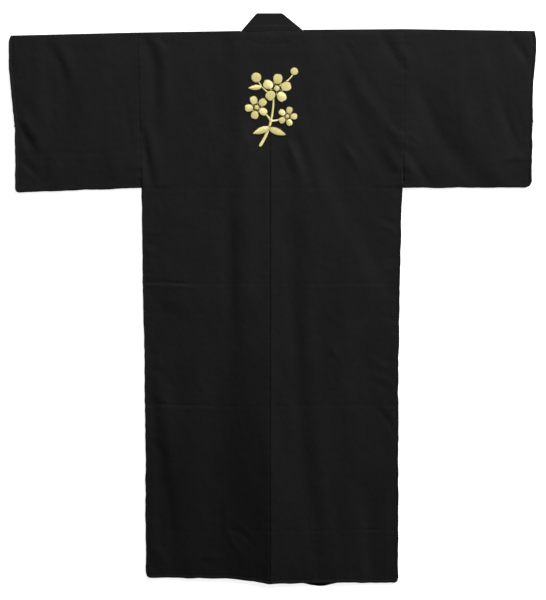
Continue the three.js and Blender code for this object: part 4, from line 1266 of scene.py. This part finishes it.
# each sheet's node and cut: its greatest width and length, its area, in metres, and what it lies on
sheets = table(
    "piece node flat area restsOn",
    (bodies[0], "body_left", (0.345, 2.84), 0.92, ["floor", "overlapRight", "collarBand", "neckCrescent"]),
    (bodies[1], "body_right", (0.355, 2.85), 0.94, ["floor", "overlapLeft", "collarBand", "neckCrescent"]),
    (overlaps[0], "overlap_left", (0.175, 1.12), 0.17, ["floor"]),
    (overlaps[1], "overlap_right", (0.175, 1.12), 0.17, ["floor", "overlapLeft", "bodyLeft"]),
    (sleeves[0], "sleeve_left", (0.335, 0.815), 0.268, ["floor"]),
    (sleeves[1], "sleeve_right", (0.34, 0.815), 0.27, ["floor"]),
    (collarBand, "collar", (0.056, 1.66), 0.084, ["floor", "bodyLeft"]),
    (crescentPatch, "neck_crescent", (0.147, 0.036), 0.0042, ["collarBand", "bodyLeft", "bodyRight"]),
)
for row in sheets:
    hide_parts(row["node"])
    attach(row["piece"], "root")
for piece in (spray, outline):
    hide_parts("blossom_spray")
    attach(piece, "root")


studio = {
    "floor": (0.85, 0.85, 0.85, 1), "rough": 0.9, "half": 40.0, "below": 0.0004, "glow": 0.85,
    "white": (1, 1, 1, 1), "world": 0.08,
}
lamps = table(
    "name kind from soft strength", ("window", "SUN", (0.64, 0.66, 0.40), 0.25, 4.3),
    ("softbox", "AREA", (0.5, 2.3, 1.15), 1.2, 27),
)


def makeFloor(look):
    mesh = bpy.data.meshes.new("floor")
    corners = [(x * look["half"], y * look["half"], 0) for x, y in ((-1, -1), (1, -1), (1, 1), (-1, 1))]
    mesh.from_pydata(corners, [], [(0, 1, 2, 3)])
    floor = addObject("floor", mesh)
    floor.location.z = -look["below"]
    material, _, shader = newMaterial("paleFloor")
    shader.inputs["Base Color"].default_value = look["floor"]
    shader.inputs["Roughness"].default_value = look["rough"]
    shader.inputs["Emission Color"].default_value = look["white"]
    shader.inputs["Emission Strength"].default_value = look["glow"]
    mesh.materials.append(material)


def makeLamp(row):
    # a lamp that points at the middle of the garment
    data = bpy.data.lights.new(row["name"], row["kind"])
    data.energy = row["strength"]
    if row["kind"] == "SUN":
        data.angle = row["soft"]
    else:
        data.shape, data.size = "DISK", row["soft"]
    lamp = addObject(row["name"], data)
    lamp.location = row["from"]
    lamp.rotation_euler = (-Vector(row["from"])).to_track_quat("-Z", "Y").to_euler()


def makeWorld(look):
    world = bpy.data.worlds.new("studio")
    world.use_nodes = True
    light = world.node_tree.nodes["Background"]
    light.inputs["Color"].default_value = look["white"]
    light.inputs["Strength"].default_value = look["world"]
    bpy.context.scene.world = world
    bpy.context.scene.view_settings.view_transform = "Standard"


makeFloor(studio)
for row in lamps:
    makeLamp(row)
makeWorld(studio)
print("floor and lamps made")
